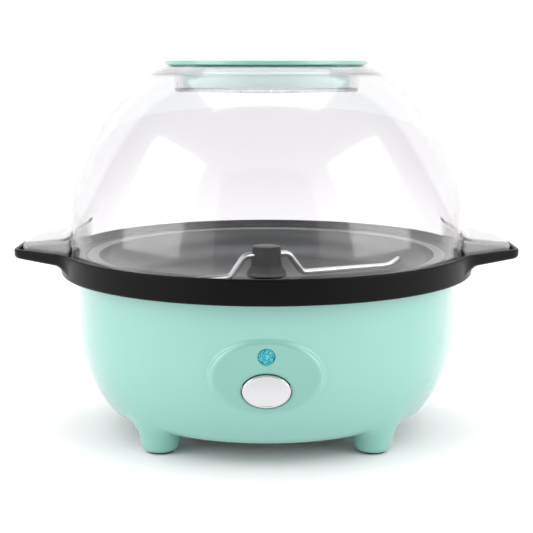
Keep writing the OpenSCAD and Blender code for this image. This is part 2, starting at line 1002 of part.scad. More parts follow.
module indicator_lamp() {
    color([0.9, 0.75, 0.6])
        at_lens() {
            translate([0, 0, 8.5])
                cylinder(h = 12, r = 2.6);
            translate([0, 0, 8.5])
                sphere(r = 2.4);
        }
}

module cord_gland() {
    color(BLACK)
        translate([0, 0, 50])
            rotate([-90, 0, 0])
                difference() {
                    union() {
                        translate([0, 0, 102])
                            cylinder(h = 16, r = 6.4);
                        translate([0, 0, 117.5])
                            cylinder(h = 2.5, r = 9.5);
                        translate([0, 0, 119.9])
                            cylinder(h = 6.1, r1 = 8, r2 = 6.6);
                    }
                    translate([0, 0, 100])
                        cylinder(h = 30, r = gland_bore_r);
                }
}

module gland_nut() {
    color(BLACK)
        translate([0, 0, 50])
            rotate([-90, 0, 0])
                difference() {
                    translate([0, 0, 103])
                        cylinder(h = 4, r = 10, $fn = 6);
                    translate([0, 0, 102])
                        cylinder(h = 6, r = 6.42);
                }
}

module terminal_block() {
    color(IVORY)
        difference() {
            translate([-16, 79, floor_z + 10.5])
                cube([32, 14, 15]);
            translate([0, 86, floor_z + 9])
                cylinder(h = 20, r = 1.8);
            translate([0, 86, floor_z + 20])
                cylinder(h = 8, r = 3.2);
        }
}

module terminal_screw() {
    color(STEEL)
        translate([0, 86, 0]) {
            translate([0, 0, floor_z + 20])
                cylinder(h = 2, r = 3);
            translate([0, 0, floor_z + 5])
                cylinder(h = 15.5, r = 1.48);
        }
}

module lead(path) {
    swept_rod(round_bends(path, 4, 4), lead_r);
}

module live_lead() {
    color([0.2, 0.2, 0.2])
        lead([
            [-11, 86, block_top], [-11, 86, 52], [-54, 62, 42],
            [-54, -58, 46], [-12, -62, 55.5], [-4.5, -69.2, 57.4]
        ]);
}

module neutral_lead() {
    color(WHITE)
        lead([
            [11, 86, block_top], [11, 86, 60],
            [element_ring_r * sin(element_gap_a), element_ring_r * cos(element_gap_a), 64],
            [element_ring_r * sin(element_gap_a), element_ring_r * cos(element_gap_a), 71]
        ]);
}

module switched_lead() {
    color([0.6, 0.1, 0.1])
        lead([
            [4.5, -69.2, 57.4], [4.5, -60, 61], [-60, -44, 65], [-60, 48, 62],
            [-element_ring_r * sin(element_gap_a), element_ring_r * cos(element_gap_a), 62],
            [-element_ring_r * sin(element_gap_a), element_ring_r * cos(element_gap_a), 71]
        ]);
}

module motor_lead() {
    color([0.15, 0.3, 0.6])
        lead([[4, 78.8, 32], [4, 70, 32], [24, 58, 36], [rotor_xy[0], rotor_xy[1] + motor_r + 0.3, 36]]);
}

// ---- Dome and cap ----

module dome_shell() {
    rotate_extrude()
        polygon(concat(
            dome_curve(0, dome_top),
            [
                [recess_r, dome_top - 2], [recess_r, recess_z], [0, recess_z],
                [0, recess_z - 2.5], [recess_r + dome_t, recess_z - 2.5],
                [recess_r + dome_t, dome_top - 2 - dome_t]
            ],
            reversed(dome_curve(dome_t, dome_top - dome_t))
        ));
}

// Side view of an ear, moved inwards by i
function ear_profile(i) = concat(
    [[100, ledge_z + 0.4 - i], [ear_edge[0] + ear_round - i, ledge_z + 0.4 - i]],
    arc(ear_edge, ear_round - i, 0, 90 - ear_slope, 4),
    arc(ear_root, ear_fillet + i, 270 - ear_slope, 188, 6),
    [[100, ear_root[1] - 1.7 - i]]
);

module ear_block(i) {
    intersection() {
        translate([0, 0, ledge_z - 5])
            linear_extrude(height = 40)
                polygon(handle_plan(ear_gap + i));
        rotate([90, 0, 0])
            linear_extrude(height = 120, center = true)
                polygon(ear_profile(i));
    }
}

module ear() {
    difference() {
        ear_block(0);
        ear_block(ear_t);
        rotate_extrude()
            polygon(concat([[0, ledge_z - 1], [dome_r - 1.2, ledge_z - 1]], dome_curve(1.2, 150), [[0, 150]]));
    }
}

module dome() {
    color(CLEAR)
        difference() {
            union() {
                dome_shell();
                ear();
                mirror([1, 0, 0])
                    ear();
            }
            for (i = [0, 1])
                around(vent_r - i * vent_step, [for (k = [0:vent_count - 1]) (k + i / 2) * 360 / vent_count])
                    translate([0, 0, recess_z - 4])
                        cylinder(h = 6, d = vent_d);
        }
}

module cap() {
    color(MINT)
        rotate_extrude()
            polygon([
                [0, top_z], [cap_r - 0.8, top_z], [cap_r, top_z - 0.8], [cap_r, top_z - cap_t],
                [skirt_r, top_z - 4.9], [skirt_r, recess_z], [skirt_r - 2, recess_z],
                [skirt_r - 2, top_z - 2.4], [0, top_z - 2.4]
            ]);
}

housing();
foot_pad(-foot_xy, -foot_xy);  // foot_pad_front_left
foot_pad(foot_xy, -foot_xy);  // foot_pad_front_right
foot_pad(-foot_xy, foot_xy);  // foot_pad_rear_left
foot_pad(foot_xy, foot_xy);  // foot_pad_rear_right
bottom_cover();
bottom_cover_screws();
tie_screws();
rim_ring();
heating_pan();
heating_element();
heat_shield();
shield_spacers();
motor_bracket();
bracket_screws();
gearbox_case();
gearbox_lid();
gearbox_screws();
motor_case();
stator_coil();
rotor();
idler_gear();
idler_pin();
output_gear();
drive_shaft();
shaft_bush();
shaft_seal();
stirrer_hub();
stirring_rod();
thermostat();
thermostat_clip();
thermal_fuse();
fuse_clip();
clip_screws();
power_button();
switch_body();
switch_plate();
switch_plate_screws();
indicator_lens();
lamp_holder();
indicator_lamp();
cord_gland();
gland_nut();
terminal_block();
terminal_screw();
live_lead();
neutral_lead();
switched_lead();
motor_lead();
dome();
cap();
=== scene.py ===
import json
import math
import bmesh
import bpy
import numpy as np
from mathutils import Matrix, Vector


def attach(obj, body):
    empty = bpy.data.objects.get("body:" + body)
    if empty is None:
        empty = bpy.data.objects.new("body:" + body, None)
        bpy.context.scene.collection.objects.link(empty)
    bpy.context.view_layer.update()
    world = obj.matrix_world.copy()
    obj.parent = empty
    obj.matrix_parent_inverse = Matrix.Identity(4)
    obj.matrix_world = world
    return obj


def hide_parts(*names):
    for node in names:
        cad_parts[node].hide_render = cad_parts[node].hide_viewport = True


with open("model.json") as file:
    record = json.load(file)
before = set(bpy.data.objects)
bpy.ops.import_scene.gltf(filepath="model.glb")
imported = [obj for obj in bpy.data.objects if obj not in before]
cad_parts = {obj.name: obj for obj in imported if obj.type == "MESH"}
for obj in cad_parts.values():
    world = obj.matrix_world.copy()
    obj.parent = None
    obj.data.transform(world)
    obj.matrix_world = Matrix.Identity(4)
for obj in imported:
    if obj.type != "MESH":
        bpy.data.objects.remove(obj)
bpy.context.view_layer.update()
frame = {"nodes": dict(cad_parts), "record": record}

MM = 0.001
RAD = math.radians

# ---------------------------------------------------------------- numbers of the CAD part, millimetres
FLOOR_Z, WALL, BOWL_TOP = 13.5, 2.6, 107.4
BELLY = (33.0, 68.0, 84.0)
CORNER_A = math.asin(40.5 / 70.0)
CORNER = (33.0 + 70.0 * math.cos(CORNER_A), 27.5, 14.0)
WALL_SLOPE = 1.0 / 31.0
FOOT_XY, FOOT_R = 62.6, 10.8
PANEL_Y, PANEL_Z, PANEL_LEAN = 115.1, 57.4, RAD(10)
PANEL_A, PANEL_B = 31.6, 21.8
BUTTON_V = (57.4 - 49.6) / math.cos(PANEL_LEAN)
LENS_V = -(69.5 - 57.4) / math.cos(PANEL_LEAN)
BUTTON_A, BUTTON_B = 13.4, 9.8
LENS_R = 4.6
RING_R, LIP_T, LIP_Z, LEDGE_Z, RING_BOTTOM = 127.0, 2.6, 113.7, 110.0, 99.0
DOME_C1, DOME_R1 = (-26.8, 111.0), 150.0
SHOULDER_A = RAD(32.9)
DOME_C2 = (DOME_C1[0] + 62.5 * math.cos(SHOULDER_A), 111.0 + 62.5 * math.sin(SHOULDER_A))
DOME_R2, DOME_T, DOME_TOP = 87.5, 2.4, 224.0
RECESS_R, RECESS_Z = 54.0, 211.0
PAN_Z, PAN_T, PAN_FLAT, PAN_ARC = 92.0, 2.5, 84.0, 20.0
STIR_A = RAD(24)
GLAND_Z = 50.0
HANDLE_X, HANDLE_Y, HANDLE_ROUND, HANDLE_FLARE = 143.0, 13.0, 12.0, RAD(54)
HANDLE_FILLET, HANDLE_FILLET_R, HANDLE_FILLET_Z = 6.0, 133.0, 100.6
EAR_X, EAR_ROUND, EAR_TOP_Z, EAR_GAP, EAR_T = 146.5, 4.0, 113.8, 5.0, 2.2
EAR_ROOT, EAR_FILLET = (123.8, 134.5), 12.0
TIE_R, TIE_ANGLES = 84.0, (60, 180, 300)
BOSS_R, BOSS_ANGLES = 45.0, (80, 200, 320)
COVER_SCREW_R, COVER_SCREW_ANGLES = 64.0, (0, 90, 180, 270)
PLATE_SCREW_X = (-24, 24)
VENT_ROWS, VENT_STEP = ((43.0, 0.0), (36.0, 7.5)), 15

# ---------------------------------------------------------------- rounds that only the visual pieces have, millimetres
PANEL_ROUND, PANEL_FILLET, FOOT_ROUND, FOOT_FILLET = 2.8, 1.2, 3.6, 6.0

# ---------------------------------------------------------------- where the clear plastic is frosted, metres
GRIP_BAND = (0.1236, 0.1262)
CROWN_BAND = (0.2188, 0.2203)


# ---------------------------------------------------------------- mesh helpers
def make(name, verts, faces, smooth=40.0):
    mesh = bpy.data.meshes.new(name)
    mesh.from_pydata((np.asarray(verts, float) * MM).tolist(), [], [list(map(int, f)) for f in faces])
    mesh.validate()
    obj = bpy.data.objects.new(name, mesh)
    bpy.context.scene.collection.objects.link(obj)
    fix_normals(obj)
    shade(obj, smooth)
    return obj


def fix_normals(obj):
    bm = bmesh.new()
    bm.from_mesh(obj.data)
    bmesh.ops.remove_doubles(bm, verts=bm.verts, dist=1e-7)
    bmesh.ops.recalc_face_normals(bm, faces=bm.faces)
    bm.to_mesh(obj.data)
    bm.free()


def shade(obj, smooth):
    obj.data.shade_smooth()
    obj.data.set_sharp_from_angle(angle=RAD(smooth))


def loft(rings, closed=False):
    """Quads between rings of equally many points; closed joins the last ring to the first, else the ends are capped."""
    n = len(rings[0])
    verts = np.concatenate(rings)
    faces = []
    steps = len(rings) if closed else len(rings) - 1
    for j in range(steps):
        a, b = j * n, ((j + 1) % len(rings)) * n
        for i in range(n):
            k = (i + 1) % n
            faces.append((a + i, a + k, b + k, b + i))
    if not closed:
        faces.append(tuple(range(n - 1, -1, -1)))
        faces.append(tuple((len(rings) - 1) * n + i for i in range(n)))
    return verts, faces


def circle_points(n, r=1.0, start=0.0):
    a = np.linspace(0, 2 * math.pi, n, endpoint=False) + start
    return np.stack((r * np.cos(a), r * np.sin(a)), -1)


def rounded(points, radii, n=4):
    """A closed polygon with its corners rounded; radii is one number or one for each corner."""
    if not isinstance(radii, (list, tuple)):
        radii = [radii] * len(points)
    out = []
    count = len(points)
    for i in range(count):
        p = np.array(points[i], float)
        a = np.array(points[i - 1], float) - p
        b = np.array(points[(i + 1) % count], float) - p
        la, lb = np.linalg.norm(a), np.linalg.norm(b)
        r = radii[i]
        if r <= 0:
            out.append(p)
            continue
        a, b = a / la, b / lb
        half = math.acos(max(-1.0, min(1.0, float(a @ b)))) / 2
        cut = min(r / math.tan(half), 0.49 * la, 0.49 * lb)
        r = cut * math.tan(half)
        middle = (a + b) / np.linalg.norm(a + b)
        centre = p + middle * (r / math.sin(half))
        u, v = p + a * cut - centre, p + b * cut - centre
        total = math.acos(max(-1.0, min(1.0, float(u @ v) / (r * r))))
        for k in range(n + 1):
            t = k / n
            out.append(centre + (math.sin((1 - t) * total) * u + math.sin(t * total) * v) / math.sin(total))
    return out


def lathe(profile, segments=160):
    """A closed profile of (r, z) turned about Z; points on the axis become one point."""
    ring = circle_points(segments)
    verts, rows = [], []
    for r, z in profile:
        if r < 1e-4:
            rows.append([len(verts)] * segments)
            verts.append((0.0, 0.0, z))
        else:
            rows.append(list(range(len(verts), len(verts) + segments)))
            verts.extend([(r * c, r * s, z) for c, s in ring])
    faces = []
    for j in range(len(rows)):
        a, b = rows[j], rows[(j + 1) % len(rows)]
        if a[0] == a[1] and b[0] == b[1]:
            continue
        for i in range(segments):
            k = (i + 1) % segments
            f = [a[i], a[k], b[k], b[i]]
            g = [v for m, v in enumerate(f) if v != f[m - 1]]
            faces.append(tuple(g))
    return np.array(verts), faces


def merged(*meshes):
    verts, faces, base = [], [], 0
    for v, f in meshes:
        verts.append(np.asarray(v, float))
        faces.extend([tuple(i + base for i in face) for face in f])
        base += len(v)
    return np.concatenate(verts), faces


def moved(mesh, offset=(0, 0, 0), turn=0.0):
    v, f = mesh
    c, s = math.cos(turn), math.sin(turn)
    rot = np.array([[c, -s, 0], [s, c, 0], [0, 0, 1]])
    return np.asarray(v) @ rot.T + np.array(offset, float), f


def placed(mesh, matrix, offset=(0, 0, 0)):
    v, f = mesh
    return np.asarray(v) @ np.asarray(matrix, float).T + np.array(offset, float), f


def rod(r, z0, z1, x=0.0, y=0.0, segments=48, r1=None):
    top = r if r1 is None else r1
    a, b = circle_points(segments, r), circle_points(segments, top)
    return moved(loft([np.c_[a, np.full(segments, z0)], np.c_[b, np.full(segments, z1)]]), (x, y, 0))


def yrod(r, y0, y1, z, segments=64):
    """A rod along Y at height z."""
    return placed(rod(r, y0, y1, segments=segments), [[1, 0, 0], [0, 0, 1], [0, -1, 0]], (0, 0, z))


def around(radius, degrees):
    """(x, y) at each of the angles on a circle about Z."""
    return [(radius * math.cos(RAD(a)), radius * math.sin(RAD(a))) for a in degrees]


def block(x0, x1, y0, y1, z0, z1):
    v = [(x, y, z) for x in (x0, x1) for y in (y0, y1) for z in (z0, z1)]
    return np.array(v, float), [(0, 1, 3, 2), (4, 6, 7, 5), (0, 4, 5, 1), (2, 3, 7, 6), (0, 2, 6, 4), (1, 5, 7, 3)]


def cut(obj, mesh, operation="DIFFERENCE", smooth=40.0):
    other = make("cutter", *mesh)
    mod = obj.modifiers.new("cut", "BOOLEAN")
    mod.operation = operation
    mod.solver = "MANIFOLD"
    mod.object = other
    graph = bpy.context.evaluated_depsgraph_get()
    result = bpy.data.meshes.new_from_object(obj.evaluated_get(graph))
    obj.modifiers.clear()
    old = obj.data
    obj.data = result
    bpy.data.meshes.remove(old)
    old = other.data
    bpy.data.objects.remove(other)
    bpy.data.meshes.remove(old)
    shade(obj, smooth)
    return obj


def taken(obj):
    """The points and faces of a scratch object, which is then removed."""
    shape = (np.array([v.co for v in obj.data.vertices]) / MM, [tuple(p.vertices) for p in obj.data.polygons])
    bpy.data.objects.remove(obj)
    return shape


def finish_piece(obj, body, slot_name, node):
    obj.data.materials.clear()
    obj.data.materials.append(MATERIALS[slot_name])
    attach(obj, body)
    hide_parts(node)


# ---------------------------------------------------------------- signed-distance surface, for the casing
def soft_union(a, b, r):
    return np.maximum(r, np.minimum(a, b)) - np.hypot(np.maximum(r - a, 0), np.maximum(r - b, 0))


def soft_cut(a, b, r):
    return np.minimum(-r, np.maximum(a, b)) + np.hypot(np.maximum(r + a, 0), np.maximum(r + b, 0))


def to_panel(p):
    c, s = math.cos(PANEL_LEAN), math.sin(PANEL_LEAN)
    y, z = p[..., 1] + PANEL_Y, p[..., 2] - PANEL_Z
    return p[..., 0], y * s - z * c, y * c + z * s


def from_panel(x, v, u):
    c, s = math.cos(PANEL_LEAN), math.sin(PANEL_LEAN)
    return np.stack((np.broadcast_to(x, np.shape(v)), v * s + u * c - PANEL_Y, u * s - v * c + PANEL_Z), -1)


def oval_distance(x, v, a, b):
    k0 = np.hypot(x / a, v / b)
    k1 = np.hypot(x / a ** 2, v / b ** 2)
    return k0 * (k0 - 1) / np.maximum(k1, 1e-9)


def casing_field(p):
    r, z = np.hypot(p[..., 0], p[..., 1]), p[..., 2]
    wall = (r - 117.0 - (z - 68.0) * WALL_SLOPE) * math.cos(math.atan(WALL_SLOPE))
    belly = np.hypot(r - BELLY[0], z - BELLY[1]) - BELLY[2]
    corner = np.hypot(r - CORNER[0], z - CORNER[1]) - CORNER[2]
    above = (z - BELLY[1]) * math.cos(CORNER_A) + (r - BELLY[0]) * math.sin(CORNER_A) > 0
    body = np.where(z >= BELLY[1], wall, np.where(above, belly, np.where(r > CORNER[0], corner, FLOOR_Z - z)))
    body = np.maximum(body, z - BOWL_TOP)
    x, v, u = to_panel(p)
    oval = oval_distance(x, v, PANEL_A, PANEL_B)
    body = np.maximum(body, -np.maximum(oval, u))
    panel = soft_cut(soft_cut(oval, -u, PANEL_ROUND), u - 12.0, 0.5)
    body = soft_union(body, panel, PANEL_FILLET)
    foot_d = np.hypot(np.abs(p[..., 0]) - FOOT_XY, np.abs(p[..., 1]) - FOOT_XY)
    side = (foot_d - FOOT_R - 4.4 * (z - 0.8) / 29.0) * 0.9887
    foot = np.maximum(soft_cut(side, 0.8 - z, FOOT_ROUND), z - 30.0)
    body = soft_union(body, foot, FOOT_FILLET)
    gland = np.hypot(p[..., 0], z - GLAND_Z) - 11.0
    gland = soft_cut(gland, np.maximum(p[..., 1] - 117.5, 107.0 - p[..., 1]), 1.2)
    return soft_union(body, gland, 1.5)


def project(field, p, times=4, limit=0.8):
    e = 0.05
    for _ in range(times):
        f = field(p)
        g = np.stack([(field(p + d) - field(p - d)) / (2 * e) for d in np.eye(3) * e], -1)
        step = g * (f / np.maximum((g * g).sum(-1), 1e-6))[..., None]
        size = np.linalg.norm(step, axis=-1, keepdims=True)
        p = p - step * np.minimum(1.0, limit / np.maximum(size, 1e-9))
    return p


def surface_net(field, lo, hi, h):
    axes = [np.arange(a, b + h, h) for a, b in zip(lo, hi)]
    shape = [len(a) for a in axes]
    grid = np.stack(np.meshgrid(*axes, indexing="ij"), -1)
    value = field(grid)
    value[value == 0] = 1e-6
    cells = [s - 1 for s in shape]
    total, count = np.zeros(cells + [3]), np.zeros(cells)
    crossings = []
    for ax in range(3):
        first, second = [slice(None)] * 3, [slice(None)] * 3
        first[ax], second[ax] = slice(0, -1), slice(1, None)
        v0, v1 = value[tuple(first)], value[tuple(second)]
        cross = (v0 < 0) != (v1 < 0)
        t = np.where(cross, v0 / np.where(cross, v0 - v1, 1.0), 0.0)
        point = grid[tuple(first)].copy()
        point[..., ax] += t * h
        crossings.append((cross, v0 < 0))
        others = [a for a in range(3) if a != ax]
        for da in (0, 1):
            for db in (0, 1):
                s = [slice(None)] * 3
                s[others[0]] = slice(da, da + cells[others[0]])
                s[others[1]] = slice(db, db + cells[others[1]])
                c = cross[tuple(s)]
                count += c
                total += point[tuple(s)] * c[..., None]
    active = count > 0
    index = np.full(cells, -1)
    index[active] = np.arange(active.sum())
    verts = total[active] / count[active][:, None]
    faces = []
    for ax in range(3):
        cross, inside = crossings[ax]
        b, c = (ax + 1) % 3, (ax + 2) % 3
        where = np.argwhere(cross)
        keep = (where[:, b] > 0) & (where[:, c] > 0) & (where[:, b] < cells[b]) & (where[:, c] < cells[c])
        where = where[keep]
        flip = inside[tuple(where.T)]
        corners = []
        for db, dc in ((1, 1), (0, 1), (0, 0), (1, 0)):
            w = where.copy()
            w[:, b] -= db
            w[:, c] -= dc
            corners.append(index[tuple(w.T)])
        quad = np.stack(corners, -1)
        quad[~flip] = quad[~flip][:, ::-1]
        faces.append(quad)
    return verts, np.concatenate(faces)


def refine(verts, faces, field, near, times=1):
    """Splits the edges whose middle is near, then puts every point back on the surface."""
    mesh = bpy.data.meshes.new("net")
    mesh.from_pydata(verts.tolist(), [], faces.tolist() if hasattr(faces, "tolist") else faces)
    bm = bmesh.new()
    bm.from_mesh(mesh)
    bpy.data.meshes.remove(mesh)
    for _ in range(times):
        middles = np.array([(e.verts[0].co + e.verts[1].co) / 2 for e in bm.edges])
        pick = near(middles)
        chosen = [e for e, k in zip(bm.edges, pick) if k]
        bmesh.ops.subdivide_edges(bm, edges=chosen, cuts=1, use_grid_fill=True)
        p = project(field, np.array([v.co for v in bm.verts]), 2)
        for v, q in zip(bm.verts, p):
            v.co = q
    bmesh.ops.triangulate(bm, faces=[f for f in bm.faces if len(f.verts) > 4])
    bm.verts.ensure_lookup_table()
    out = np.array([v.co for v in bm.verts]), [tuple(v.index for v in f.verts) for f in bm.faces]
    bm.free()
    return out


def bowl_curve(i, steps=20):
    """Casing profile moved inwards by i, from the floor up to where the straight wall starts."""
    pts = []
    for k in range(9):
        a = -math.pi / 2 + (math.pi / 2 - CORNER_A) * k / 8
        pts.append((CORNER[0] + (CORNER[2] - i) * math.cos(a), CORNER[1] + (CORNER[2] - i) * math.sin(a)))
    for k in range(1, steps + 1):
        a = -CORNER_A * (1 - k / steps)
        pts.append((BELLY[0] + (BELLY[2] - i) * math.cos(a), BELLY[1] + (BELLY[2] - i) * math.sin(a)))
    return pts


def panel_prism(a, b, v0, levels, n=96):
    """An oval prism in the panel's frame, centred at height v0; levels is a list of (u, grow)."""
    ring = circle_points(n)
    return loft([from_panel(ring[:, 0] * (a + g), v0 + ring[:, 1] * (b + g), np.full(n, float(u)))
                 for u, g in levels])


def panel_rod(r, x, u0, u1, n):
    """A rod across the panel, beside the button."""
    ring = circle_points(n, r)
    return loft([from_panel(x + ring[:, 0], BUTTON_V + ring[:, 1], np.full(n, float(u))) for u in (u0, u1)])


def lip_levels(depth, radius, out=4.0):
    """Levels of a straight opening whose edge is rounded outwards."""
    levels = [(depth, 0.0)]
    for k in range(6):
        a = RAD(15 * k)
        levels.append((radius * (1 - math.sin(a)), radius * (1 - math.cos(a))))
    u, g = levels[-1]
    levels.append((u - out * math.cos(RAD(75)) * 0.6, g + out * math.sin(RAD(75)) * 0.6))
    return levels


def build_casing():
    verts, faces = surface_net(casing_field, (-121, -125, -1.2), (121, 121, 109), 1.5)
    verts = project(casing_field, verts)

    def near(m):
        x, v, u = to_panel(m)
        d = oval_distance(x, v, PANEL_A, PANEL_B)
        from_gland = np.hypot(m[:, 0], m[:, 2] - GLAND_Z)
        at_gland = (from_gland < 15) & (from_gland > 8) & (m[:, 1] > 108)
        return (np.abs(d) < 4.0) & (u > -6) & (u < 8) | at_gland

    verts, faces = refine(verts, faces, casing_field, near, 2)
    obj = make("casing", verts, faces)
    cavity = lathe([(0, FLOOR_Z + WALL)] + bowl_curve(WALL) + [(118 - WALL, 99), (118 - WALL, 112), (0, 112)], 180)
    feet = [(x, y) for x in (-FOOT_XY, FOOT_XY) for y in (-FOOT_XY, FOOT_XY)]
    # material left standing in the cavity: columns, the panel's backing, screw posts, gland boss, floor ring
    keep = [rod(6, 10, 70, x, y) for x, y in around(TIE_R, TIE_ANGLES)]
    keep.append(panel_prism(PANEL_A - 2, PANEL_B - 2, 0.0, [(0.5, 0), (3.3, 0)]))
    keep += [panel_rod(4.0, x, 2.5, 15, 40) for x in PLATE_SCREW_X]
    keep += [yrod(11, 107, 118, GLAND_Z), lathe([(59, 15.5), (72, 15.5), (72, 18.1), (59, 18.1)], 120)]
    keep += [rod(4, 14, 28, x, y) for x, y in around(COVER_SCREW_R, COVER_SCREW_ANGLES)]
    keep.append(rod(6, 14, 24, 0, 86))
    inner = make("cavity", *cavity)
    for k in keep:
        cut(inner, k)
    for x, y in feet:
        cut(inner, rod(FOOT_R - 2.4, 6, 26, x, y, r1=FOOT_R + 0.6), "UNION")
    cut(obj, taken(inner))
    # openings: bottom cover's seat, button, lens, gland, terminal screw, tie screws, cover screws, pads, plate screws
    openings = [
        rod(59, 12, 20.5, segments=120), rod(68.4, 12, 15.5, segments=120),
        panel_prism(BUTTON_A + 0.5, BUTTON_B + 0.5, BUTTON_V, lip_levels(9.0, 0.7)),
        panel_prism(LENS_R + 0.15, LENS_R + 0.15, LENS_V, lip_levels(9.0, 0.5), 64),
        yrod(6.5, 100, 120, GLAND_Z), rod(1.5, FLOOR_Z + 3, FLOOR_Z + 12, 0, 86),
    ]
    for x, y in around(TIE_R, TIE_ANGLES):
        openings += [rod(4, 12, 60, x, y), rod(2.3, 59, 72, x, y)]
    openings += [rod(1.5, 15, 26, x, y) for x, y in around(COVER_SCREW_R, COVER_SCREW_ANGLES)]
    openings += [rod(8.1, -1, 2.8, x, y) for x, y in feet]
    openings += [panel_rod(1.3, x, 8, 16, 32) for x in PLATE_SCREW_X]
    for o in openings:
        cut(obj, o)
    return obj




# ---------------------------------------------------------------- rim ring with its two handle trays
def handle_radius(theta, inset=0.0):
    """Distance from the centre to the handles' outline, in polar form."""
    t = np.abs((np.asarray(theta) + math.pi / 2) % math.pi - math.pi / 2)
    cx, cy, r = HANDLE_X, HANDLE_Y, HANDLE_ROUND - inset
    c, phi = math.hypot(cx, cy), math.atan2(cy, cx)
    tip = (cx + r) / np.cos(t)
    arc = c * np.cos(t - phi) + np.sqrt(np.maximum(r * r - (c * np.sin(t - phi)) ** 2, 0))
    a = HANDLE_FLARE
    flare = (cx * math.cos(a) + cy * math.sin(a) + r) / np.cos(np.minimum(t, a) - a)
    first = math.atan2(cy, cx + r)
    second = math.atan2(cy + r * math.sin(a), cx + r * math.cos(a))
    return np.where(t < first, tip, np.where(t < second, arc, flare))


def soft_max(a, b, k):
    h = np.maximum(k - np.abs(a - b), 0) / k
    return np.maximum(a, b) + h * h * k / 4


def soft_min(a, b, k):
    return -soft_max(-np.asarray(a, float), -np.asarray(b, float), k)


def angles(fine, coarse, reach):
    """Angles right round: fine steps near the handles, coarse ones elsewhere; all in degrees."""
    one = list(np.arange(0, reach, fine)) + list(np.arange(reach, 90 + 1e-6, coarse))
    one = np.unique(np.r_[one, 90.0])
    half = np.unique(np.r_[one, 180 - one])
    return RAD(1) * np.r_[half[:-1], 180 + half[:-1]]


def resample(points, n):
    points = np.asarray(points, float)
    d = np.r_[0, np.cumsum(np.linalg.norm(np.diff(points, axis=0), axis=1))]
    s = np.linspace(0, d[-1], n)
    return np.stack((np.interp(s, d, points[:, 0]), np.interp(s, d, points[:, 1])), -1)


def ring_outline(theta):
    return soft_max(np.full(np.shape(theta), RING_R), handle_radius(theta), 5.0)


def underside(r):
    """Height of the handles' underside at radius r: a fillet against the ring, then nearly flat."""
    x = np.clip(HANDLE_FILLET_R - r, 0, HANDLE_FILLET)
    fillet = HANDLE_FILLET_Z + np.sqrt(np.maximum(HANDLE_FILLET ** 2 - x ** 2, 0))
    return np.where(r < HANDLE_FILLET_R, fillet, HANDLE_FILLET_Z + HANDLE_FILLET + (r - HANDLE_FILLET_R) * 0.06)


def build_ring():
    theta = angles(0.5, 1.25, 30)
    outline = ring_outline(theta)
    e = 1e-4
    slope = (ring_outline(theta + e) - ring_outline(theta - e)) / (2 * e) / outline
    thick = LIP_T * np.sqrt(1 + slope ** 2)
    rings = []
    for t, o, w in zip(theta, outline, thick):
        k = w / LIP_T
        inner = o - w
        section = [(106.6, 105.8), (106.6, 107.6), (107.0, 108.0), (111.6, 108.0), (111.6, 109.6), (112.0, 110.0)]
        section += [(112.6, 110.0), (0.5 * (112.6 + inner), 110.0)]
        section += [(inner - 0.8 * k * (1 - math.cos(a)), 110.0 + 0.8 * (1 - math.sin(a)))
                    for a in np.linspace(math.pi / 2, 0, 4)]
        section += [(inner + 0.7 * k * (1 - math.cos(a)), LIP_Z - 0.7 + 0.7 * math.sin(a))
                    for a in np.linspace(0, math.pi / 2, 5)]
        section += [(o - 1.0 * k * (1 - math.sin(a)), LIP_Z - 1.0 + 1.0 * math.cos(a))
                    for a in np.linspace(0, math.pi / 2, 6)]
        low = float(underside(o)) if o > RING_R + 0.1 else RING_BOTTOM
        side = [(o, LIP_Z - 1.0)]
        if low > RING_BOTTOM + 0.5:
            round_r = min(2.0, 0.45 * (LIP_Z - 1.0 - low), 0.6 * (o - RING_R) / k)
            side += [(o - round_r * k * (1 - math.cos(a)), low + round_r * (1 - math.sin(a)))
                     for a in np.linspace(0, math.pi / 2, 6)]
            start = o - round_r * k
            flat = [r for r in np.linspace(start, HANDLE_FILLET_R, 8)[1:] if r > HANDLE_FILLET_R]
            turn = min(start, HANDLE_FILLET_R)
            curve = [RING_R + (turn - RING_R) * (1 - math.sin(a)) for a in np.linspace(0, math.pi / 2, 12)[1:]]
            side += [(r, float(underside(r))) for r in flat + curve]
        side.append((RING_R, RING_BOTTOM + 1.5))
        section += [tuple(p) for p in resample(side, 34)[1:]]
        section += [(RING_R - 1.5 * (1 - math.cos(a)), RING_BOTTOM + 1.5 - 1.5 * math.sin(a))
                    for a in np.linspace(0.25, math.pi / 2, 6)]
        section += [(124.8, 99.0), (124.4, 99.4), (124.4, 107.4), (115.0, 107.4), (115.0, 94.0), (112.2, 94.0),
                    (112.2, 105.4), (107.0, 105.4)]
        s = np.array(section)
        rings.append(np.c_[s[:, 0] * math.cos(t), s[:, 0] * math.sin(t), s[:, 1]])
    mesh = loft(rings, closed=True)
    ribs = [placed(block(118.3, 124.6, -0.8, 0.8, 101, 107.5),
                   [[math.cos(a), -math.sin(a), 0], [math.sin(a), math.cos(a), 0], [0, 0, 1]])
            for a in RAD(1) * (7.5 + 15 * np.arange(24))]
    return make("rim_ring_moulding", *merged(mesh, *ribs), smooth=35)


# ---------------------------------------------------------------- dome with its two hooded grips
def dome_radius(z, inset=0.0):
    z = np.asarray(z, float)
    r1, r2 = DOME_R1 - inset, DOME_R2 - inset
    turn = DOME_C1[1] + r1 * math.sin(SHOULDER_A)
    side = DOME_C1[0] + np.sqrt(np.maximum(r1 ** 2 - (z - DOME_C1[1]) ** 2, 0))
    top = DOME_C2[0] + np.sqrt(np.maximum(r2 ** 2 - (z - DOME_C2[1]) ** 2, 0))
    return np.where(z < turn, side, top)


